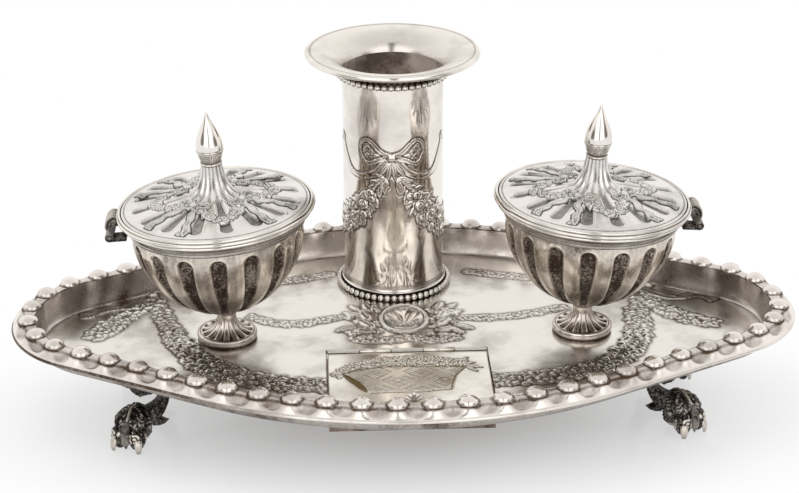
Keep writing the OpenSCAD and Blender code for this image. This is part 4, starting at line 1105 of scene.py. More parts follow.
def beads_in(node):
    """Radius, height and count of a CAD ring of beads, from its box."""
    low, high = box_mm(node)
    radius = high[0] - TUBE_AT[0] - BEAD_R
    count = int(2 * np.pi * radius / (2 * BEAD_R + BEAD_SPACE))
    return radius, (low[2] + high[2]) / 2 - FLOOR_Z, count


# Spun and burnished on the lathe: smooth and bright, with dark lines left in its grooves.
holder_silver = silver_plate("spun silver plate", "#ECE7E1", "#4C3F37", 0.07, 26, 0.3, 0.06)
for node, beads, profile in (("holder_base", "holder_base_beads", base_profile()),
                             ("holder_mouth", "holder_top_beads", mouth_profile())):
    radius, z, count = beads_in(beads)
    make_piece(node, [placed(turned(profile, 128), None, TUBE_AT),
                      placed(bead_ring(radius, z, count, 0.9), None, TUBE_AT)],
               "stand", holder_silver, [node, beads])


# ---------------------------------------------------------------- Well feet
# Each inkwell stands on a cast trumpet foot: a thick round disc whose cone is cut into
# petals, with deep hollows between them at its spread. A stud through the tray holds it.

WELLS = {"left": -1, "right": 1}
foot_low, foot_high = box_mm("right_well_foot")
WELL_X = (foot_low[0] + foot_high[0]) / 2
DISC_R = (foot_high[0] - foot_low[0]) / 2
FOOT_TOP = 12.2
DISC_H = 2.9
DISC_BAND = 1.5
CONE_TOP = 9.6
CONE_STEM_R = 3.5
PETALS = 14


def well_foot_surface():
    """Radius over height is a quarter ellipse from the stem out to the disc. The cone is cut
    by PETALS hollows (1 - |sin|)^1.3 that deepen downwards and end in a scallop on the
    disc."""
    k = np.concatenate([np.linspace(0, 0.72, 14), np.linspace(0.76, 1, 16)])[:, None]
    columns = PETALS * 14
    turn = np.arange(columns)[None, :] / columns * 2 * np.pi
    phase = np.abs(np.sin(PETALS * turn / 2))
    quarter = k * np.pi / 2
    r = CONE_STEM_R + (DISC_R - DISC_BAND - CONE_STEM_R) * (1 - np.cos(quarter))
    z = DISC_H + (CONE_TOP - DISC_H) * (1 - np.sin(quarter))
    hollow = (1 - phase) ** 1.3 * np.clip(k * 1.15, 0, 1) ** 0.7 * np.clip((1 - k) / 0.07, 0, 1)
    r = r - 0.35 * hollow
    z = z - 1.15 * hollow * k
    tone = np.clip(1.15 * hollow * (0.3 + k), 0, 1)
    cone = circled(r, turn, z)
    upper = np.array([(4.0, FOOT_TOP + 0.15), (4.1, 11.6), (3.9, 11.0), (3.55, 10.3)])
    disc = np.array([(DISC_R - 1.25, DISC_H - 0.02), (DISC_R - 0.9, DISC_H + 0.05),
                     (DISC_R - 0.4, DISC_H - 0.15), (DISC_R - 0.1, DISC_H * 0.8),
                     (DISC_R, DISC_H * 0.5), (DISC_R - 0.15, 0.5), (DISC_R - 0.5, 0.0)])
    points = np.concatenate([circled(upper[:, :1], turn, upper[:, 1:]), cone,
                             circled(disc[:, :1], turn, disc[:, 1:])])
    # The side of the disc darkens down to the tray: a painted shadow line along its foot.
    shade = np.concatenate([np.full((len(upper), columns), 0.4), tone, np.repeat(
        [[0.85], [0.3], [0.0], [0.0], [0.1], [0.6], [1.0]], columns, 1)])
    return points.reshape(-1, 3), grid_faces(len(points), columns, True), shade.reshape(-1)


# Chased after casting: bright on the petals, nearly black in the hollows between them.
well_silver = silver_plate("cast and chased plate", "#E8E0D8", "#4A3B31", 0.14, 16, 0.45, 0.08)
for name, side in WELLS.items():
    make_piece(name + "_well_foot", [
        placed(well_foot_surface(), None, (side * WELL_X, 0, FLOOR_Z))],
        "stand", well_silver, [name + "_well_foot"])


# ---------------------------------------------------------------- Bowls
# Deep round bowls hammered from sheet. Sixteen round-headed flutes are sunk into each,
# narrowing to the stem, and the lobes between them swell outwards. The flutes hold dark
# toning. Each bowl leans a little outwards on its stud.

STEM_R = 4.0
BOWL_R = 31.0
BOWL_H = 35.4
BOWL_TOP = FOOT_TOP + BOWL_H
FLUTES = 16
FLUTE_HALF = 0.225
FLUTE_HEAD = 0.1
BOWL_FLUTE_DEPTH = 1.35
BOWL_WALL = 2.5
INSIDE_DEEP = 0.86
WELL_LEAN = np.radians(3.3)
BOWL_TURN = {"left": np.radians(-88), "right": np.radians(-98)}


def smooth(x):
    """Smooth step: 3t^2 - 2t^3 of x clipped to 0..1."""
    t = np.clip(x, 0, 1)
    return t * t * (3 - 2 * t)


def bowl_side(s):
    """Radius of the bowl at a share s of its height below the rim."""
    return STEM_R + (BOWL_R - STEM_R) * np.clip(1 - s ** 2.26, 0, 1) ** 0.667


def flute_phase(turn, at):
    """Place across the nearest flute, -0.5..0.5 of the pitch."""
    p = (turn - at) / (2 * np.pi / FLUTES)
    return p - np.round(p)


def bowl_surface(at, seed):
    """Outer wall: bowl_side(s) less a flute wherever a point lies inside its outline, a
    stadium of half width FLUTE_HALF of the pitch with a round head, and plus a swelling
    1 - t^2 on the lobes between; then the plain inner wall, from the middle up. Flutes and
    their edges are dark, and cloudy stains and streaks lie over the lobes."""
    columns = FLUTES * 26
    s = np.concatenate([
        np.linspace(0, 0.06, 6), np.linspace(0.07, 0.22, 24), np.linspace(0.235, 0.9, 46),
        1 - 0.09 * np.linspace(1, 0, 14) ** 1.6])[:, None]
    turn = np.arange(columns)[None, :] / columns * 2 * np.pi
    p = flute_phase(turn, at)
    side = bowl_side(s)
    pitch = side * 2 * np.pi / FLUTES
    across = np.abs(p) * pitch
    half = FLUTE_HALF * pitch * (0.82 + 0.18 * smooth((0.75 - s) / 0.5))
    below = (s - FLUTE_HEAD) * BOWL_H - half
    within = np.where(below > 0, half - across, half - np.hypot(across, below))
    flute = smooth(within / 0.8 + 0.25)
    depth = BOWL_FLUTE_DEPTH * (0.2 + 0.8 * side / BOWL_R) * smooth((1 - s) / 0.05)
    lip = np.exp(-((within + 0.55) / 0.5) ** 2) * smooth((1 - s) / 0.1)
    lobe = np.clip(1 - ((0.5 - np.abs(p)) / 0.26) ** 2, 0, 1) * smooth((s - 0.06) / 0.12)
    swell = 0.55 * lobe * smooth((1 - s) / 0.2) + 0.16 * lip
    r = side - depth * flute * (1 - 0.12 * (across / half) ** 2) + swell * (1 - flute)
    dice = np.random.default_rng(seed)
    mottle = dice.uniform(0, 6.3, 6)
    cloud = (np.sin(turn * 3 + mottle[0] + 2 * np.sin(s * 7 + mottle[1]))
             + np.sin(turn * 7 + mottle[2] - s * 9) + np.sin(turn * 11 + mottle[3] + s * 17)) / 3
    edge = np.exp(-((within - 0.1) / 0.35) ** 2) * smooth((1 - s) / 0.1)
    streaks = np.interp(turn % (2 * np.pi), np.linspace(0, 2 * np.pi, 240),
                        dice.uniform(-1, 1, 240))
    tone = (0.62 * flute + 0.35 * edge + 0.24 + 0.2 * cloud - 0.3 * lip
            + 0.3 * smooth((0.06 - s) / 0.06) + 0.25 * smooth((s - 0.55) / 0.4)
            + 0.2 * streaks * (1 - flute) * (0.6 + 0.4 * np.sin(9 * s + 5 * turn)))
    outer = circled(r, turn, BOWL_TOP - BOWL_H * s)
    deep = np.linspace(INSIDE_DEEP, 0, 12)[:, None]
    inner = circled(bowl_side(deep) - BOWL_WALL, turn, BOWL_TOP - BOWL_H * deep)
    middle = circled(0.01, turn, BOWL_TOP - BOWL_H * INSIDE_DEEP)
    points = np.concatenate([middle, inner, outer])
    tone = np.concatenate([np.full((1 + len(deep), columns), 0.5), np.clip(tone, 0, 1)])
    return points.reshape(-1, 3), grid_faces(len(points), columns, True), tone.reshape(-1)


def on_well(part, side):
    """A part drawn round an upright axis, z above the tray floor, moved onto a well: it
    leans outwards about the top of the foot."""
    lean = side * WELL_LEAN
    turn = [[np.cos(lean), 0, np.sin(lean)], [0, 1, 0], [-np.sin(lean), 0, np.cos(lean)]]
    lowered = part[0] - (0, 0, FOOT_TOP), part[1], part[2]
    return placed(lowered, turn, (side * WELL_X, 0, FLOOR_Z + FOOT_TOP))


# The most toned of the bright silver: brown in the flutes and unevenly grey on the lobes.
bowl_silver = silver_plate("toned bowl plate", "#EAE0D4", "#493D35", 0.14, 14, 0.4, 0.10, 0.6)
for name, side in WELLS.items():
    make_piece(name + "_bowl", [on_well(bowl_surface(BOWL_TURN[name], 50 + side), side)],
               "stand", bowl_silver, [name + "_bowl"])


# ---------------------------------------------------------------- Bowl rims
# A spun moulding is soldered round the mouth of each bowl: a plain band, a hollow curve
# and a round edge on which the lid comes down.

LID_Z = 51.3
RIM_R = 36.0


def arc(middle, radius, start, end, steps, tone=0.0):
    """Profile points of an arc from one angle to another, in degrees."""
    turn = np.radians(np.linspace(start, end, steps))
    return [(middle[0] + radius * np.cos(a), middle[1] + radius * np.sin(a), tone) for a in turn]


collar_profile = (
    [(BOWL_R - 0.6, BOWL_TOP, 0.6), (BOWL_R - 0.6, LID_Z - 0.2, 0.5), (BOWL_R - 0.4, LID_Z, 0.3),
     (RIM_R - 1.8, LID_Z, 0.7)]
    + arc((RIM_R - 1.8, LID_Z - 0.72), 0.72, 80, -60, 8, 0.0)
    + [(RIM_R - 1.75, LID_Z - 1.45, 0.9), (RIM_R - 1.95, LID_Z - 1.6, 1.0),
       (RIM_R - 2.0, LID_Z - 1.75, 0.4)]
    + arc((RIM_R - 1.4, LID_Z - 4.2), 2.5, 105, 178, 8, 0.42)
    + [(BOWL_R + 1.1, BOWL_TOP - 0.2, 0.9), (BOWL_R + 1.13, BOWL_TOP - 0.4, 0.45),
       (BOWL_R + 1.13, BOWL_TOP - 1.2, 0.5), (BOWL_R + 0.9, BOWL_TOP - 1.48, 0.8),
       (BOWL_R + 0.03, BOWL_TOP - 1.5, 1.0)])
for name, side in WELLS.items():
    make_piece(name + "_collar", [on_well(turned(collar_profile, 160), side)],
               "stand", holder_silver, [name + "_collar"])


# ---------------------------------------------------------------- Lid domes
# Shallow lids raised from sheet that sweep up into a fluted neck. Round-ended flutes are
# sunk in the dome; over them lie four chased ribbon bows with wavy tails, and swags of
# roses hang between the bows.

DOME_R = 34.0
DOME_Z = LID_Z + 1.35
DOME_EDGE = 0.9
DOME_RISE = 3.8
NECK_RISE = 11.6
NECK_R = 3.8
NECK_POWER = 2.6
FLUTE_END = 30.2
LID_FLUTE_DEPTH = 0.95
LID_FLUTE_TURN = np.radians(-79.5)
BOWS = 4
EDGE_LINE_R = 33.0
DOME_WALL = 2.1


def lid_height(r):
    """Height of the lid: a shallow dome with a neck that rises by a power of 1 / r."""
    return (DOME_Z + DOME_EDGE + DOME_RISE * (1 - (r / DOME_R) ** 2)
            + NECK_RISE * ((NECK_R / r) ** NECK_POWER - (NECK_R / DOME_R) ** NECK_POWER))


def lid_bow(field, cut, x, y, turn, seed):
    """One bow at 12 mm from the axis: two puffed loops, a knot and two forked tails that
    wave out to the edge of the flutes; turn is its direction."""
    dice = np.random.default_rng(seed)
    out = np.array([np.cos(turn), np.sin(turn)])
    side = np.array([-np.sin(turn), np.cos(turn)])

    def path(*knots):
        return [out * a + side * b for a, b in knots]

    for way in (-1, 1):
        wave = dice.uniform(-0.5, 0.5, 3)
        tail = path((12.6, way * 0.7), (15.5, way * 2.6), (18.2, way * (2.9 + wave[0])),
                    (21.5, way * (5.4 + wave[1])), (24.4, way * 5.8),
                    (27, way * (7.4 + wave[2])), (29.6, way * 7.9))
        ribbon(field, x, y, tail, 1.35, 0.5, 2.5)
        fork = path((26.8, way * 7.2), (28.4, way * 6.5), (30, way * 6.3))
        ribbon(field, x, y, fork, 0.7, 0.45, 1)
        ribbon(field, x, y, path((12.2, way * 0.8), (10.6, way * 3.0), (10.4, way * 5.2),
                                 (12.2, way * 5.9), (13.4, way * 4.2), (12.6, way * 1.4)),
               0.9, 0.65, 1)
        groove(cut, x, y, path((11.9, way * 2.6), (11.9, way * 4.4)), 0.45, 0.5)
    emboss(field, x, y, path((12.2, 0))[0], 0, 1.9, lambda a, b: 0.95 * np.sqrt(
        np.clip(1 - (a / 1.45) ** 2 - (b / 1.45) ** 2, 0, 1)))


def lid_swag(field, x, y, turn, seed):
    """Roses and leaves from the bow at turn to the next one, sagging towards the edge."""
    dice = np.random.default_rng(seed)
    pitch = 2 * np.pi / BOWS
    share = np.array([0.1, 0.2, 0.32, 0.42, 0.5, 0.58, 0.68, 0.8, 0.9])
    radius = np.array([12.5, 14.6, 18.2, 20.8, 21.6, 20.8, 18.2, 14.6, 12.5])
    along = turn + share * pitch
    knots = np.stack([radius * np.cos(along), radius * np.sin(along)], -1)
    at, lean, _ = along_path(knots, 1.5)
    for p, angle in zip(at, lean):
        for way in (-1, 1):
            size = dice.uniform(2.4, 3.4)
            emboss(field, x, y, p, angle + way * dice.uniform(0.5, 1.2), size,
                   leaf(size, 0.8, 0.35))
    for place, size in ((0.1, 1.3), (0.22, 1.7), (0.36, 2.1), (0.5, 2.4), (0.64, 2.1),
                        (0.78, 1.7), (0.9, 1.3)):
        spot = at[int(place * (len(at) - 1))] + dice.uniform(-0.35, 0.35, 2)
        set_rose(field, x, y, spot, size, 0.75, dice.uniform(0, 6))
    for _ in range(7):
        i = dice.integers(3, len(at) - 3)
        spot = at[i] + dice.uniform(-1.6, 1.6, 2)
        set_rose(field, x, y, spot, dice.uniform(0.8, 1.1), 0.55, dice.uniform(0, 6))


def dome_surface(seed):
    """From the neck out to the edge the height is lid_height(r) less the flutes, or plus the
    chased bows and swags where they lie; it is moved along the normal of the lid. On the
    neck the flutes widen until only sharp ridges are left between them. A dark line is
    painted round the dome near its edge, the painted shade of a groove that is not modelled,
    and the underside is plain."""
    columns = FLUTES * 34
    r = np.concatenate([NECK_R + 2.5 * np.linspace(0, 1, 13) ** 1.2, np.linspace(6.6, 9.6, 9),
                        np.linspace(9.9, 31, 92), np.linspace(31.3, DOME_R, 12)])[:, None]
    turn = np.arange(columns)[None, :] / columns * 2 * np.pi
    x, y = r * np.cos(turn), r * np.sin(turn)
    p = flute_phase(turn, LID_FLUTE_TURN)
    pitch = r * 2 * np.pi / FLUTES
    across = np.abs(p) * pitch
    half = 0.2 * pitch * (1 + 0.25 * smooth((14 - r) / 6))
    beyond = r - (FLUTE_END - half)
    within = np.where(beyond > 0, half - np.hypot(across, beyond), half - across)
    sunk = smooth(within / 0.7 + 0.25)
    arris = smooth((11.5 - r) / 4.5)
    shape = sunk * (1 - arris) + (1 - (2 * np.abs(p)) ** 1.6) * arris
    depth = LID_FLUTE_DEPTH * (0.5 + 0.5 * smooth((r - 4.5) / 5)) * smooth((r - NECK_R + 1.2) / 2.0)
    lip = 0.14 * np.exp(-((within + 0.45) / 0.4) ** 2) * (1 - arris)
    field, cut = np.zeros_like(x), np.zeros_like(x)
    for i in range(BOWS):
        at = LID_FLUTE_TURN + (i - 0.5) * 2 * np.pi / BOWS
        lid_swag(field, x, y, at, seed + i)
        lid_bow(field, cut, x, y, at, seed + 10 + i)
    relief, carved = chase(field, 2, 0.2, True)
    over = field > 0.04
    height = np.where(over, relief - cut, relief - depth * shape + lip)
    slope = (lid_height(r + 0.01) - lid_height(r - 0.01)) / 0.02
    tilt = 1 / np.hypot(1, slope)
    rr = r - height * slope * tilt
    z = lid_height(r) + height * tilt
    in_flute = 0.62 * sunk * (1 - arris) + 0.5 * arris * shape ** 3
    tone = np.where(over, 0.9 * carved + cut, np.maximum(in_flute, carved)) + 0.06
    # Painted shade: a dark line at EDGE_LINE_R stands for the shade in a groove.
    tone = tone + 0.8 * np.exp(-((r - EDGE_LINE_R) / 0.22) ** 2)
    top = circled(rr, turn, z)
    edge = np.array([(DOME_R, DOME_Z + 0.4), (DOME_R, DOME_Z), (DOME_R - 1.6, DOME_Z)])
    inside_r = np.linspace(DOME_R - 1.7, NECK_R + 3, 14)
    inside = np.stack([inside_r, lid_height(inside_r) - DOME_WALL], -1)
    low = np.concatenate([edge, inside, [(0.01, inside[-1, 1])]])
    under = circled(low[:, :1], turn, low[:, 1:])
    points = np.concatenate([top, under])
    tone = np.concatenate([np.clip(tone, 0, 1), np.full(under.shape[:2], 0.45)])
    return points.reshape(-1, 3), grid_faces(len(points), columns, True), tone.reshape(-1)


# Grey rather than brown where it is toned, and the whitest metal of the two wells.
lid_silver = silver_plate("chased lid plate", "#ECE9E6", "#48423F", 0.13, 18, 0.25, 0.06)
for name, side in WELLS.items():
    make_piece(name + "_lid_dome", [on_well(dome_surface(60 + 20 * side), side)],
               name + "_lid", lid_silver, [name + "_lid_dome"])


# ---------------------------------------------------------------- Lid rims
# A cast ring of two rounds with a groove between them holds the edge of each dome.

rim_z = LID_Z + 0.15
rim_profile = (
    [(DOME_R - 1.3, DOME_Z, 0.8), (DOME_R + 0.03, DOME_Z, 1.0), (DOME_R + 0.03, rim_z + 1.4, 1.0),
     (DOME_R + 0.32, rim_z + 1.35, 1.0), (DOME_R + 0.34, rim_z + 1.5, 0.8)]
    + arc((RIM_R - 1.18, rim_z + 1.8), 0.46, 160, 0, 8, 0.0)
    + [(RIM_R - 0.76, rim_z + 1.5, 0.6), (RIM_R - 0.74, rim_z + 1.36, 1.0),
       (RIM_R - 0.62, rim_z + 1.36, 0.9)]
    + arc((RIM_R - 0.68, rim_z + 0.68), 0.66, 75, -70, 10, 0.0)
    + [(RIM_R - 1.2, rim_z, 0.7), (DOME_R - 1.3, rim_z, 0.8), (DOME_R - 1.3, DOME_Z, 0.8)])
for name, side in WELLS.items():
    make_piece(name + "_lid_rim", [on_well(turned(rim_profile, 160), side)],
               name + "_lid", holder_silver, [name + "_lid_rim"])


# ---------------------------------------------------------------- Finials
# A smooth pointed bud, stamped in two halves and soldered at its widest, where the joint
# shows as two fine lines. It stands on a small ring at the top of the neck.

BUD_R = 4.95
BUD_H = 19.6
BUD_WIDEST = 0.28
RING_H = 0.9


def bud_profile():
    """From the tip down: radius 0.4 + (BUD_R - 0.4) cos^1.5 with a rounded tip, the joint
    lines, then sin^0.9 of a quarter turn in to the ring."""
    v = np.linspace(0.985, 0, 30)
    tip = [(0.01, BUD_H), (0.22, BUD_H - 0.05), (0.38, BUD_H - 0.2)]
    scale = BUD_H - RING_H
    upper = [(0.4 + (BUD_R - 0.4) * np.cos(np.pi / 2 * a) ** 1.5,
              RING_H + scale * (BUD_WIDEST + (1 - BUD_WIDEST) * a), 0) for a in v[1:]]
    widest = RING_H + scale * BUD_WIDEST
    joint = [(BUD_R, widest - 0.25, 0.1), (BUD_R - 0.12, widest - 0.38, 0.8),
             (BUD_R + 0.02, widest - 0.52, 0.0), (BUD_R + 0.02, widest - 0.9, 0.0),
             (BUD_R - 0.14, widest - 1.04, 0.8), (BUD_R - 0.06, widest - 1.2, 0.1)]
    u = np.linspace(0.7, 0.02, 10)
    lower = [(NECK_R - 0.5 + (BUD_R - NECK_R + 0.4) * np.sin(np.pi / 2 * a) ** 0.9,
              RING_H + scale * BUD_WIDEST * a, 0.2 * (1 - a)) for a in u]
    ring = [(NECK_R - 0.45, 0.95, 1.0), (NECK_R + 0.1, 0.85, 0.2), (NECK_R + 0.25, 0.5, 0.0),
            (NECK_R + 0.1, 0.1, 0.3), (NECK_R - 0.3, -0.3, 1.0)]
    return np.array([(p + (0,))[:3] for p in tip] + upper + joint + lower + ring)


bud = turned(bud_profile() + (0, lid_height(NECK_R), 0), 64)
for name, side in WELLS.items():
    make_piece(name + "_finial", [on_well(bud, side)], name + "_lid", holder_silver,
               [name + "_finial"])
# ---------------------------------------------------------------- Paw feet
# Four cast lion's paws carry the tray. A flat strap drops from a pad soldered under the
# tray, bends outwards and swells into a clenched paw with two hairy toes, a small middle
# one, claws and a heel spur. They are blackened, and only their high places are bright.

PAW_AT = np.array([100.1, 18.5])
LEG_TURN = np.radians(15)
PAW_TURN = np.radians(43)
# Degrees that each paw turns beyond PAW_TURN.
SKEW = {"front_left": 12, "front_right": 0, "rear_left": 12, "rear_right": -18}
# Each foot's signs in x and y, and how far it stands out and forward of PAW_AT, in mm.
FEET = {"front_left": (-1, -1, 0, 0.9), "front_right": (1, -1, 0.9, -0.9),
        "rear_left": (-1, 1, 0, 0), "rear_right": (1, 1, 1.4, 0)}
TOE_FAN = np.radians(31)
TOE_X, TOE_Z = 0.9, 3.9
TOE_OUT, TOE_UP = 6.0, 8.2
PALM_AT = np.array([0.5, 0, 7.5])
TRAY_UNDER = FLOOR_Z - SHEET


def ray_exit(way, middle, radii):
    """Distance along unit rays from the origin to where they leave an ellipsoid: the larger
    root of |(t way - middle) / radii| = 1."""
    d, m = way / radii, np.asarray(middle) / radii
    a, b, c = (d * d).sum(-1), (d * m).sum(-1), (m * m).sum() - 1
    return (b + np.sqrt(np.maximum(b * b - a * c, 0))) / a


def palm_surface():
    """A ball-like surface about PALM_AT whose radius is the farthest exit from three
    ellipsoids, the back of the paw, the heel and the ankle, with slanting wavy strokes of
    hair that swell and fade. It is cut flat on the table."""
    lift = np.linspace(np.pi / 2 - 0.01, -np.pi / 2 + 0.01, 70)[:, None]
    turn = np.arange(110)[None, :] / 110 * 2 * np.pi
    way = circled(np.cos(lift), turn, np.sin(lift))
    reach = np.maximum(np.maximum(ray_exit(way, (0.2, 0, 0.9), (5.6, 7.0, 6.2)),
                                  ray_exit(way, (-1.8, 0, -2.2), (4.6, 5.6, 4.9))),
                       ray_exit(way, (-2.6, 0, 1.6), (4.4, 5.2, 5.4)))
    slant = 9 * lift + 4 * turn + 1.3 * np.sin(3 * turn + 2 * lift) + np.sin(7 * lift - 2 * turn)
    fade = 0.55 + 0.45 * np.sin(6 * turn - 5 * lift + 1.2 * np.sin(5 * turn))
    dents = np.abs(np.sin(slant)) * fade
    points = PALM_AT + (reach + 0.55 * dents)[..., None] * way
    points[..., 2] = np.maximum(points[..., 2], 0)
    tone = 0.95 - 0.45 * smooth((dents - 0.5) / 0.3) * smooth((way[..., 0] + 0.35) / 0.3)
    return points.reshape(-1, 3), grid_faces(70, 110, True), tone.reshape(-1)


def toe_surface(size, seed):
    """A bean swept down over its knuckle: its middle line is the arc of an ellipse
    x = TOE_X + TOE_OUT sin t, z = TOE_Z + TOE_UP cos t, for t from 6 to 114 degrees, and its
    girth closes at both ends. Two tufts of hair lie on it: wavy strokes |sin|^0.8 that run
    aslant across it, swell and fade and end raggedly. The upper tuft stayed dark, the lower
    one is bright."""
    dice = np.random.default_rng(seed)
    u = np.linspace(0, 1, 74)[:, None]
    a = np.arange(84)[None, :] / 84 * 2 * np.pi
    bend = np.radians(6 + 108 * u)
    x, z = TOE_X + TOE_OUT * np.sin(bend), TOE_Z + TOE_UP * np.cos(bend)
    lean = np.arctan2(-TOE_UP * np.sin(bend), TOE_OUT * np.cos(bend))
    girth = np.sqrt(np.clip(1 - (2 * u - 1) ** 4, 0, 1)) * (1 - 0.12 * np.abs(u - 0.52))
    waist = 1 - 0.22 * np.exp(-((u - 0.47) / 0.06) ** 2)
    ragged = 0.05 * np.interp(a % (2 * np.pi), np.linspace(0, 2 * np.pi, 24),
                              dice.uniform(-1, 1, 24))
    slant = (32 * u + 3 * a * np.sin(seed) + 1.1 * np.sin(3 * a + 5 * u + seed)
             + 0.8 * np.sin(8 * a - 11 * u))
    swell = 0.65 + 0.35 * np.sin(5 * a + 9 * u + 1.5 * np.sin(7 * a + seed))
    upper = smooth((u - 0.06 - ragged) / 0.06) * smooth((0.46 + ragged - u) / 0.05)
    lower = smooth((u - 0.5 - ragged) / 0.06) * smooth((0.84 + ragged - u) / 0.05)
    comb = np.maximum(upper, lower) * swell * np.abs(np.sin(slant)) ** 0.8
    width = 3.35 * size * girth * waist + 0.42 * comb
    height = 2.75 * size * girth * waist + 0.42 * comb
    out = height * np.sin(a)
    points = np.stack([x - np.sin(lean) * out, width * np.cos(a), z + np.cos(lean) * out], -1)
    points[..., 2] = np.maximum(points[..., 2], 0.05)
    tone = 0.96 - (0.5 * upper + 1.05 * lower) * smooth((comb - 0.4) / 0.35)
    return points.reshape(-1, 3), grid_faces(74, 84, True)[:, ::-1], np.clip(tone, 0, 1).reshape(-1)


def swept(path, half_width, half_thick, tone, columns=20, squareness=0.6):
    """A bar along a path in the x-z plane: across, y = w |cos a|^q and along the normal
    h |sin a|^q, with w and h given at each point and q the squareness; it closes at ends
    where they reach 0."""
    at, lean, share = along_path(np.asarray(path, float), 0.6)
    w = np.interp(share, np.linspace(0, 1, len(half_width)), half_width)[:, None]
    h = np.interp(share, np.linspace(0, 1, len(half_thick)), half_thick)[:, None]
    a = np.arange(columns)[None, :] / columns * 2 * np.pi
    side = np.sign(np.cos(a)) * np.abs(np.cos(a)) ** squareness * w
    up = np.sign(np.sin(a)) * np.abs(np.sin(a)) ** squareness * h
    x = at[:, :1] - np.sin(lean)[:, None] * up
    z = at[:, 1:] + np.cos(lean)[:, None] * up
    shade = np.broadcast_to(np.interp(share, np.linspace(0, 1, len(tone)), tone)[:, None], x.shape)
    return (np.stack([x, side, z], -1).reshape(-1, 3), grid_faces(len(at), columns, True)[:, ::-1],
            shade.reshape(-1))


def yawed(part, yaw):
    """A part turned about Z."""
    c, s = np.cos(yaw), np.sin(yaw)
    return placed(part, [[c, -s, 0], [s, c, 0], [0, 0, 1]])


leg = swept([(-12.2, TRAY_UNDER), (-12.3, TRAY_UNDER - 4), (-12.1, 22), (-11.2, 17), (-9.0, 13.2),
             (-5.6, 10.8), (-1.5, 9.6)],
            [0.01, 3.6, 3.5, 3.4, 3.3, 3.4, 3.6, 3.8, 0.01],
            [0.01, 1.5, 1.5, 1.6, 1.8, 2.1, 2.9, 3.4, 0.01],
            [1.0, 1.0, 0.98, 0.95, 0.98, 0.92, 0.98])
spur = swept([(-5.5, 8.8), (-8.0, 8.0), (-10, 7.5), (-11.6, 7.4), (-13.0, 7.6)],
             [0.01, 2.3, 2.1, 1.4, 0.01], [0.01, 2.2, 1.9, 1.2, 0.01],
             [0.98, 0.9, 0.95, 0.7], 20, 0.9)
pad = swept([(x, TRAY_UNDER - 0.75) for x in (-19.8, -16, -12, -9.2)],
            [0.01, 3.5, 3.6, 3.6, 0.01], [0.01, 0.7, 0.7, 0.7, 0.01], [0.95, 0.95])
seam = swept([(-3.5, 14.6), (0.5, 14.9), (4.2, 13.2), (6.8, 10.4), (7.8, 7.6)],
             [0.01, 0.45, 0.55, 0.5, 0.01], [0.01, 0.7, 0.7, 0.6, 0.01], [0.5, 0.25, 0.3], 8, 1)
middle_toe = swept([(3.0, 12.0), (6.0, 10.6), (8.0, 7.6), (8.5, 4.6), (8.2, 1.2)],
                   [0.01, 1.4, 1.7, 1.8, 1.5, 0.01], [0.01, 1.3, 1.5, 1.5, 1.2, 0.01],
                   [0.9, 0.7, 0.85, 0.6, 0.9], 16, 0.9)
claw = swept([(7.0, 5.6), (8.7, 4.8), (9.6, 2.8), (9.7, 0.35)],
             [0.4, 1.5, 1.5, 1.25, 0.8], [0.3, 1.1, 1.0, 0.8, 0.5], [0.8, 0.2, 0.1, 0.5], 12, 0.9)
paw = [palm_surface(), seam, middle_toe]
paw += [yawed(toe_surface(0.96, seed), yaw) for seed, yaw in ((4, -TOE_FAN), (9, TOE_FAN))]
paw += [yawed(claw, yaw) for yaw in (-TOE_FAN, TOE_FAN)]

# Blackened on purpose, and rubbed bright only where hands and cloths reach.
paw_silver = silver_plate("blackened cast plate", "#E2DAD0", "#1F1B1B", 0.2, 9, 0.12, 0.10)
for name, (mx, my, out, front) in FEET.items():
    turn = PAW_TURN + np.radians(SKEW[name])
    parts = []
    for part in [leg, spur, pad] + [yawed(p, turn) for p in paw]:
        points, faces, tone = yawed(part, LEG_TURN)
        points = (points + (*PAW_AT, 0) + (out, front, 0)) * (mx, my, 1)
        parts.append((points, faces if mx * my > 0 else faces[:, ::-1], tone))
    make_piece("foot_" + name, parts, "stand", paw_silver, ["foot_" + name])


# ---------------------------------------------------------------- Well hinges
# Each lid hangs on a cast hinge on its outer side. A ribbed leaf grips the lid rim, curls
# down outside it and ends in the middle knuckle; the two outer knuckles belong to a
# bracket under the bowl's rim. The hinges are as dark as the feet.

HINGE_X = RIM_R + 2.2
HINGE_Z = LID_Z - 4.3
HINGE_KNUCKLE = 1.6
LEAF_W = 8.8
LEAF_RIBS = 4
LEAF_DEEP = 1.1
BARREL_END = 10
ARM_END = 9.8


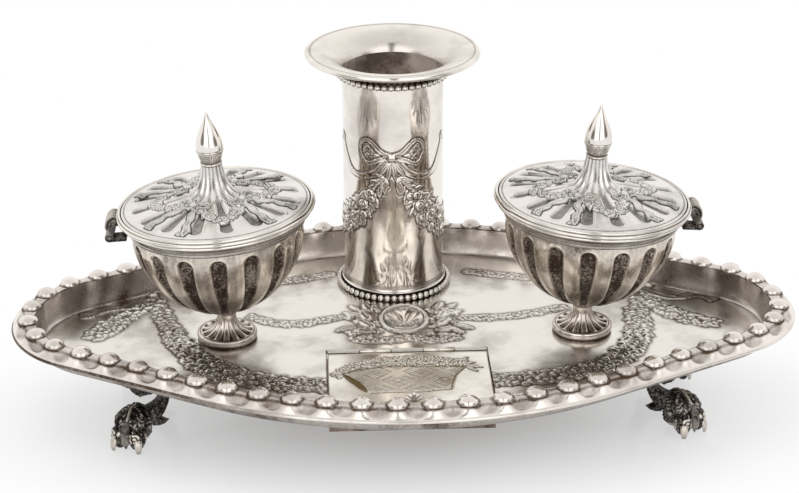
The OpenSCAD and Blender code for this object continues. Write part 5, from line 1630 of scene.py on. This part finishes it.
def hinge_leaf():
    """A sheet swept over y along a profile in x-z; its ribs add 0.75 mm times |cos|^0.8
    of their width along the profile's normal."""
    outer = np.array([(RIM_R - 0.4, HINGE_Z + 5.3), (RIM_R + 0.7, HINGE_Z + 5.4),
                      (RIM_R + 1.9, HINGE_Z + 4.9), (RIM_R + 2.9, HINGE_Z + 3.8),
                      (RIM_R + 3.4, HINGE_Z + 2.4), (RIM_R + 3.5, HINGE_Z + 0.9),
                      (RIM_R + 3.2, HINGE_Z - 0.4)])
    at, lean, share = along_path(outer, 0.35)
    y = np.linspace(-1, 1, 65)[None, :]
    rib = np.abs(np.cos(np.pi * LEAF_RIBS * (y + 1) / 2 + np.pi / 2)) ** 0.8
    fade = smooth(share * 5)[:, None] * (0.55 + 0.45 * smooth((1 - share) * 4))[:, None]
    rise = 0.75 * rib * fade
    x = at[:, :1] - np.sin(lean)[:, None] * rise
    z = at[:, 1:] + np.cos(lean)[:, None] * rise
    half = (LEAF_W / 2) * (1 - 0.12 * share ** 2)[:, None]
    top = np.stack([x, y * half, z], -1)
    x0 = at[:, :1] + np.sin(lean)[:, None] * LEAF_DEEP
    z0 = at[:, 1:] - np.cos(lean)[:, None] * LEAF_DEEP
    low = np.stack(np.broadcast_arrays(x0, y * half, z0), -1)
    rows, columns = x.shape
    faces = grid_faces(rows, columns)
    n = rows * columns
    edge = np.concatenate([np.arange(rows) * columns, (rows - 1) * columns + np.arange(1, columns),
                           np.arange(rows - 2, -1, -1) * columns + columns - 1,
                           np.arange(columns - 2, 0, -1)])
    rim = np.stack([edge, edge + n, np.roll(edge, -1) + n, np.roll(edge, -1)], -1)
    tone = np.tile((0.72 - 0.65 * rib ** 2 * fade).reshape(-1), 2)
    return (np.concatenate([top.reshape(-1, 3), low.reshape(-1, 3)]),
            np.concatenate([faces, faces[:, ::-1] + n, rim[:, ::-1]]), tone)


def hinge_barrel(y0, y1, dent):
    """A knuckle from y0 to y1 with rounded ends and a dark bore; dent sinks small rings."""
    r, bore = HINGE_KNUCKLE, HINGE_KNUCKLE * BORE_SHARE
    length = y1 - y0
    k = np.linspace(0.25, length - 0.25, 15)
    side = [(r - dent * np.abs(np.sin(np.pi * 3 * (a / length))) ** 8, a, 0.6) for a in k[::-1]]
    profile = ([(bore, length, 1.0), (r - 0.35, length, 0.9)] + side
               + [(r - 0.35, 0, 0.9), (bore, 0, 1.0)])
    along_y = [[1, 0, 0], [0, 0, 1], [0, -1, 0]]
    return placed(turned(profile, 28), along_y, (HINGE_X, y0, HINGE_Z))


def flipped(part):
    """A part turned half round about Z, for the well on the other side."""
    return placed(part, [[-1, 0, 0], [0, -1, 0], [0, 0, 1]])


def bracket_arm(way):
    """The web that joins an outer knuckle to the bowl's rim, thinning upwards."""
    y0, y1 = sorted((way * (LEAF_W / 2 + 0.25), way * ARM_END))
    ring = np.array([(HINGE_X, HINGE_Z - 1.5), (HINGE_X, HINGE_Z - 0.1),
                     (RIM_R - 2.6, HINGE_Z + 0.1), (BOWL_R + 1.2, HINGE_Z),
                     (BOWL_R + 1.2, HINGE_Z - 1.5)])
    ends = np.concatenate([np.stack([ring[:, 0], np.full(len(ring), y), ring[:, 1]], -1)
                           for y in (y0, y1)])
    n = len(ring)
    cap = np.array([[0, 1, 2, 2], [0, 2, 3, 4]])
    return (ends, np.concatenate([grid_faces(2, n, True), cap, (cap + n)[:, ::-1]]), 0.9)


for name, side in WELLS.items():
    for node, parts, body in (
            ("_lid_leaf", [hinge_leaf(), hinge_barrel(-LEAF_W / 2, LEAF_W / 2, 0.12)],
             name + "_lid"),
            ("_hinge_bracket", [hinge_barrel(LEAF_W / 2 + 0.2, BARREL_END, 0.12),
                                hinge_barrel(-BARREL_END, -LEAF_W / 2 - 0.2, 0.12),
                                bracket_arm(1), bracket_arm(-1)], "stand")):
        if side < 0:
            parts = [flipped(p) for p in parts]
        make_piece(name + node, [on_well(p, side) for p in parts], body, paw_silver, [name + node])


# ---------------------------------------------------------------- Plain metal parts
# What lies under the tray and inside the lids was never polished: the folded stamp box and
# the studs, nuts and pins of drawn brass rod under dull silver. The fixed hinge leaf takes
# the polished plate of the tray floor.


def dull_metal(name, colour, dark, roughness):
    """Plain metal with soft cloudy stains 6 mm across, which are 0.2 rougher."""
    material, tree = new_material(name)
    place = add(tree, "ShaderNodeTexCoord").outputs["Object"]
    cloud = add(tree, "ShaderNodeTexNoise", [
        ("Vector", place), ("Scale", 1000 / 6), ("Detail", 5.0), ("Roughness", 0.6)])
    stain = add(tree, "ShaderNodeMapRange", [
        ("Value", cloud.outputs["Fac"]), ("From Min", 0.4), ("From Max", 0.7)])
    shade = add(tree, "ShaderNodeMix", [
        ("Factor", stain.outputs["Result"]), (6, linear(colour)), (7, linear(dark))],
        data_type="RGBA")
    rough = add(tree, "ShaderNodeMapRange", [
        ("Value", stain.outputs["Result"]), ("To Min", roughness), ("To Max", roughness + 0.2)])
    skin = add(tree, "ShaderNodeBsdfPrincipled", [
        ("Base Color", shade.outputs[2]), ("Metallic", 1.0),
        ("Roughness", rough.outputs["Result"])])
    add(tree, "ShaderNodeOutputMaterial", [("Surface", skin.outputs[0])])
    return material


# Unpolished plate: greyer and softer than the show side.
dull_silver = dull_metal("unpolished plate", "#C9C5BD", "#857B6F", 0.26)
# The folded box is a darker brown than the other plain plate, and shows soft brown light under the
# tray's edge.
box_silver = dull_metal("dark brown box plate", "#8F7F74", "#4C3D36", 0.24)
# Drawn brass rod, dulled to a brown yellow.
rod_brass = dull_metal("dull brass rod", "#B39A63", "#6A5430", 0.32)
# The hinge pins have gone grey.
pin_metal = dull_metal("grey hinge pin", "#8F8A83", "#4A443E", 0.3)


def finish_node(node, material):
    """Give a CAD node its material in every slot it has."""
    mesh = frame["nodes"][node].data
    if not mesh.materials:
        mesh.materials.append(material)
    for i in range(len(mesh.materials)):
        mesh.materials[i] = material


finish_node("stamp_box", box_silver)
finish_node("holder_floor", dull_silver)
finish_node("flap_hinge_leaf", floor_silver)
for node in ["flap_hinge_pin"] + [s + "_hinge_pin" for s in WELLS]:
    finish_node(node, pin_metal)
for node in (["holder_stud", "holder_nut"]
             + [s + t for s in WELLS for t in ("_well_stud", "_well_nut", "_finial_nut")]):
    finish_node(node, rod_brass)


# ---------------------------------------------------------------- Glass liners
# A thick moulded glass hangs in each bowl by its flange and holds the ink.

# Old pressed glass with a faint green cast and a slightly uneven skin.
liner_glass, tree = new_material("pressed glass")
place = add(tree, "ShaderNodeTexCoord").outputs["Object"]
ripple = add(tree, "ShaderNodeTexNoise", [("Vector", place), ("Scale", 1000 / 8), ("Detail", 1.0)])
uneven = add(tree, "ShaderNodeBump", [
    ("Height", ripple.outputs["Fac"]), ("Distance", 0.15 * MM), ("Strength", 1.0)])
glass_skin = add(tree, "ShaderNodeBsdfPrincipled", [
    ("Base Color", linear("#E3EFEA")), ("Roughness", 0.04), ("IOR", 1.5),
    ("Transmission Weight", 1.0), ("Normal", uneven.outputs["Normal"])])
add(tree, "ShaderNodeOutputMaterial", [("Surface", glass_skin.outputs[0])])
for name in WELLS:
    finish_node(name + "_liner", liner_glass)
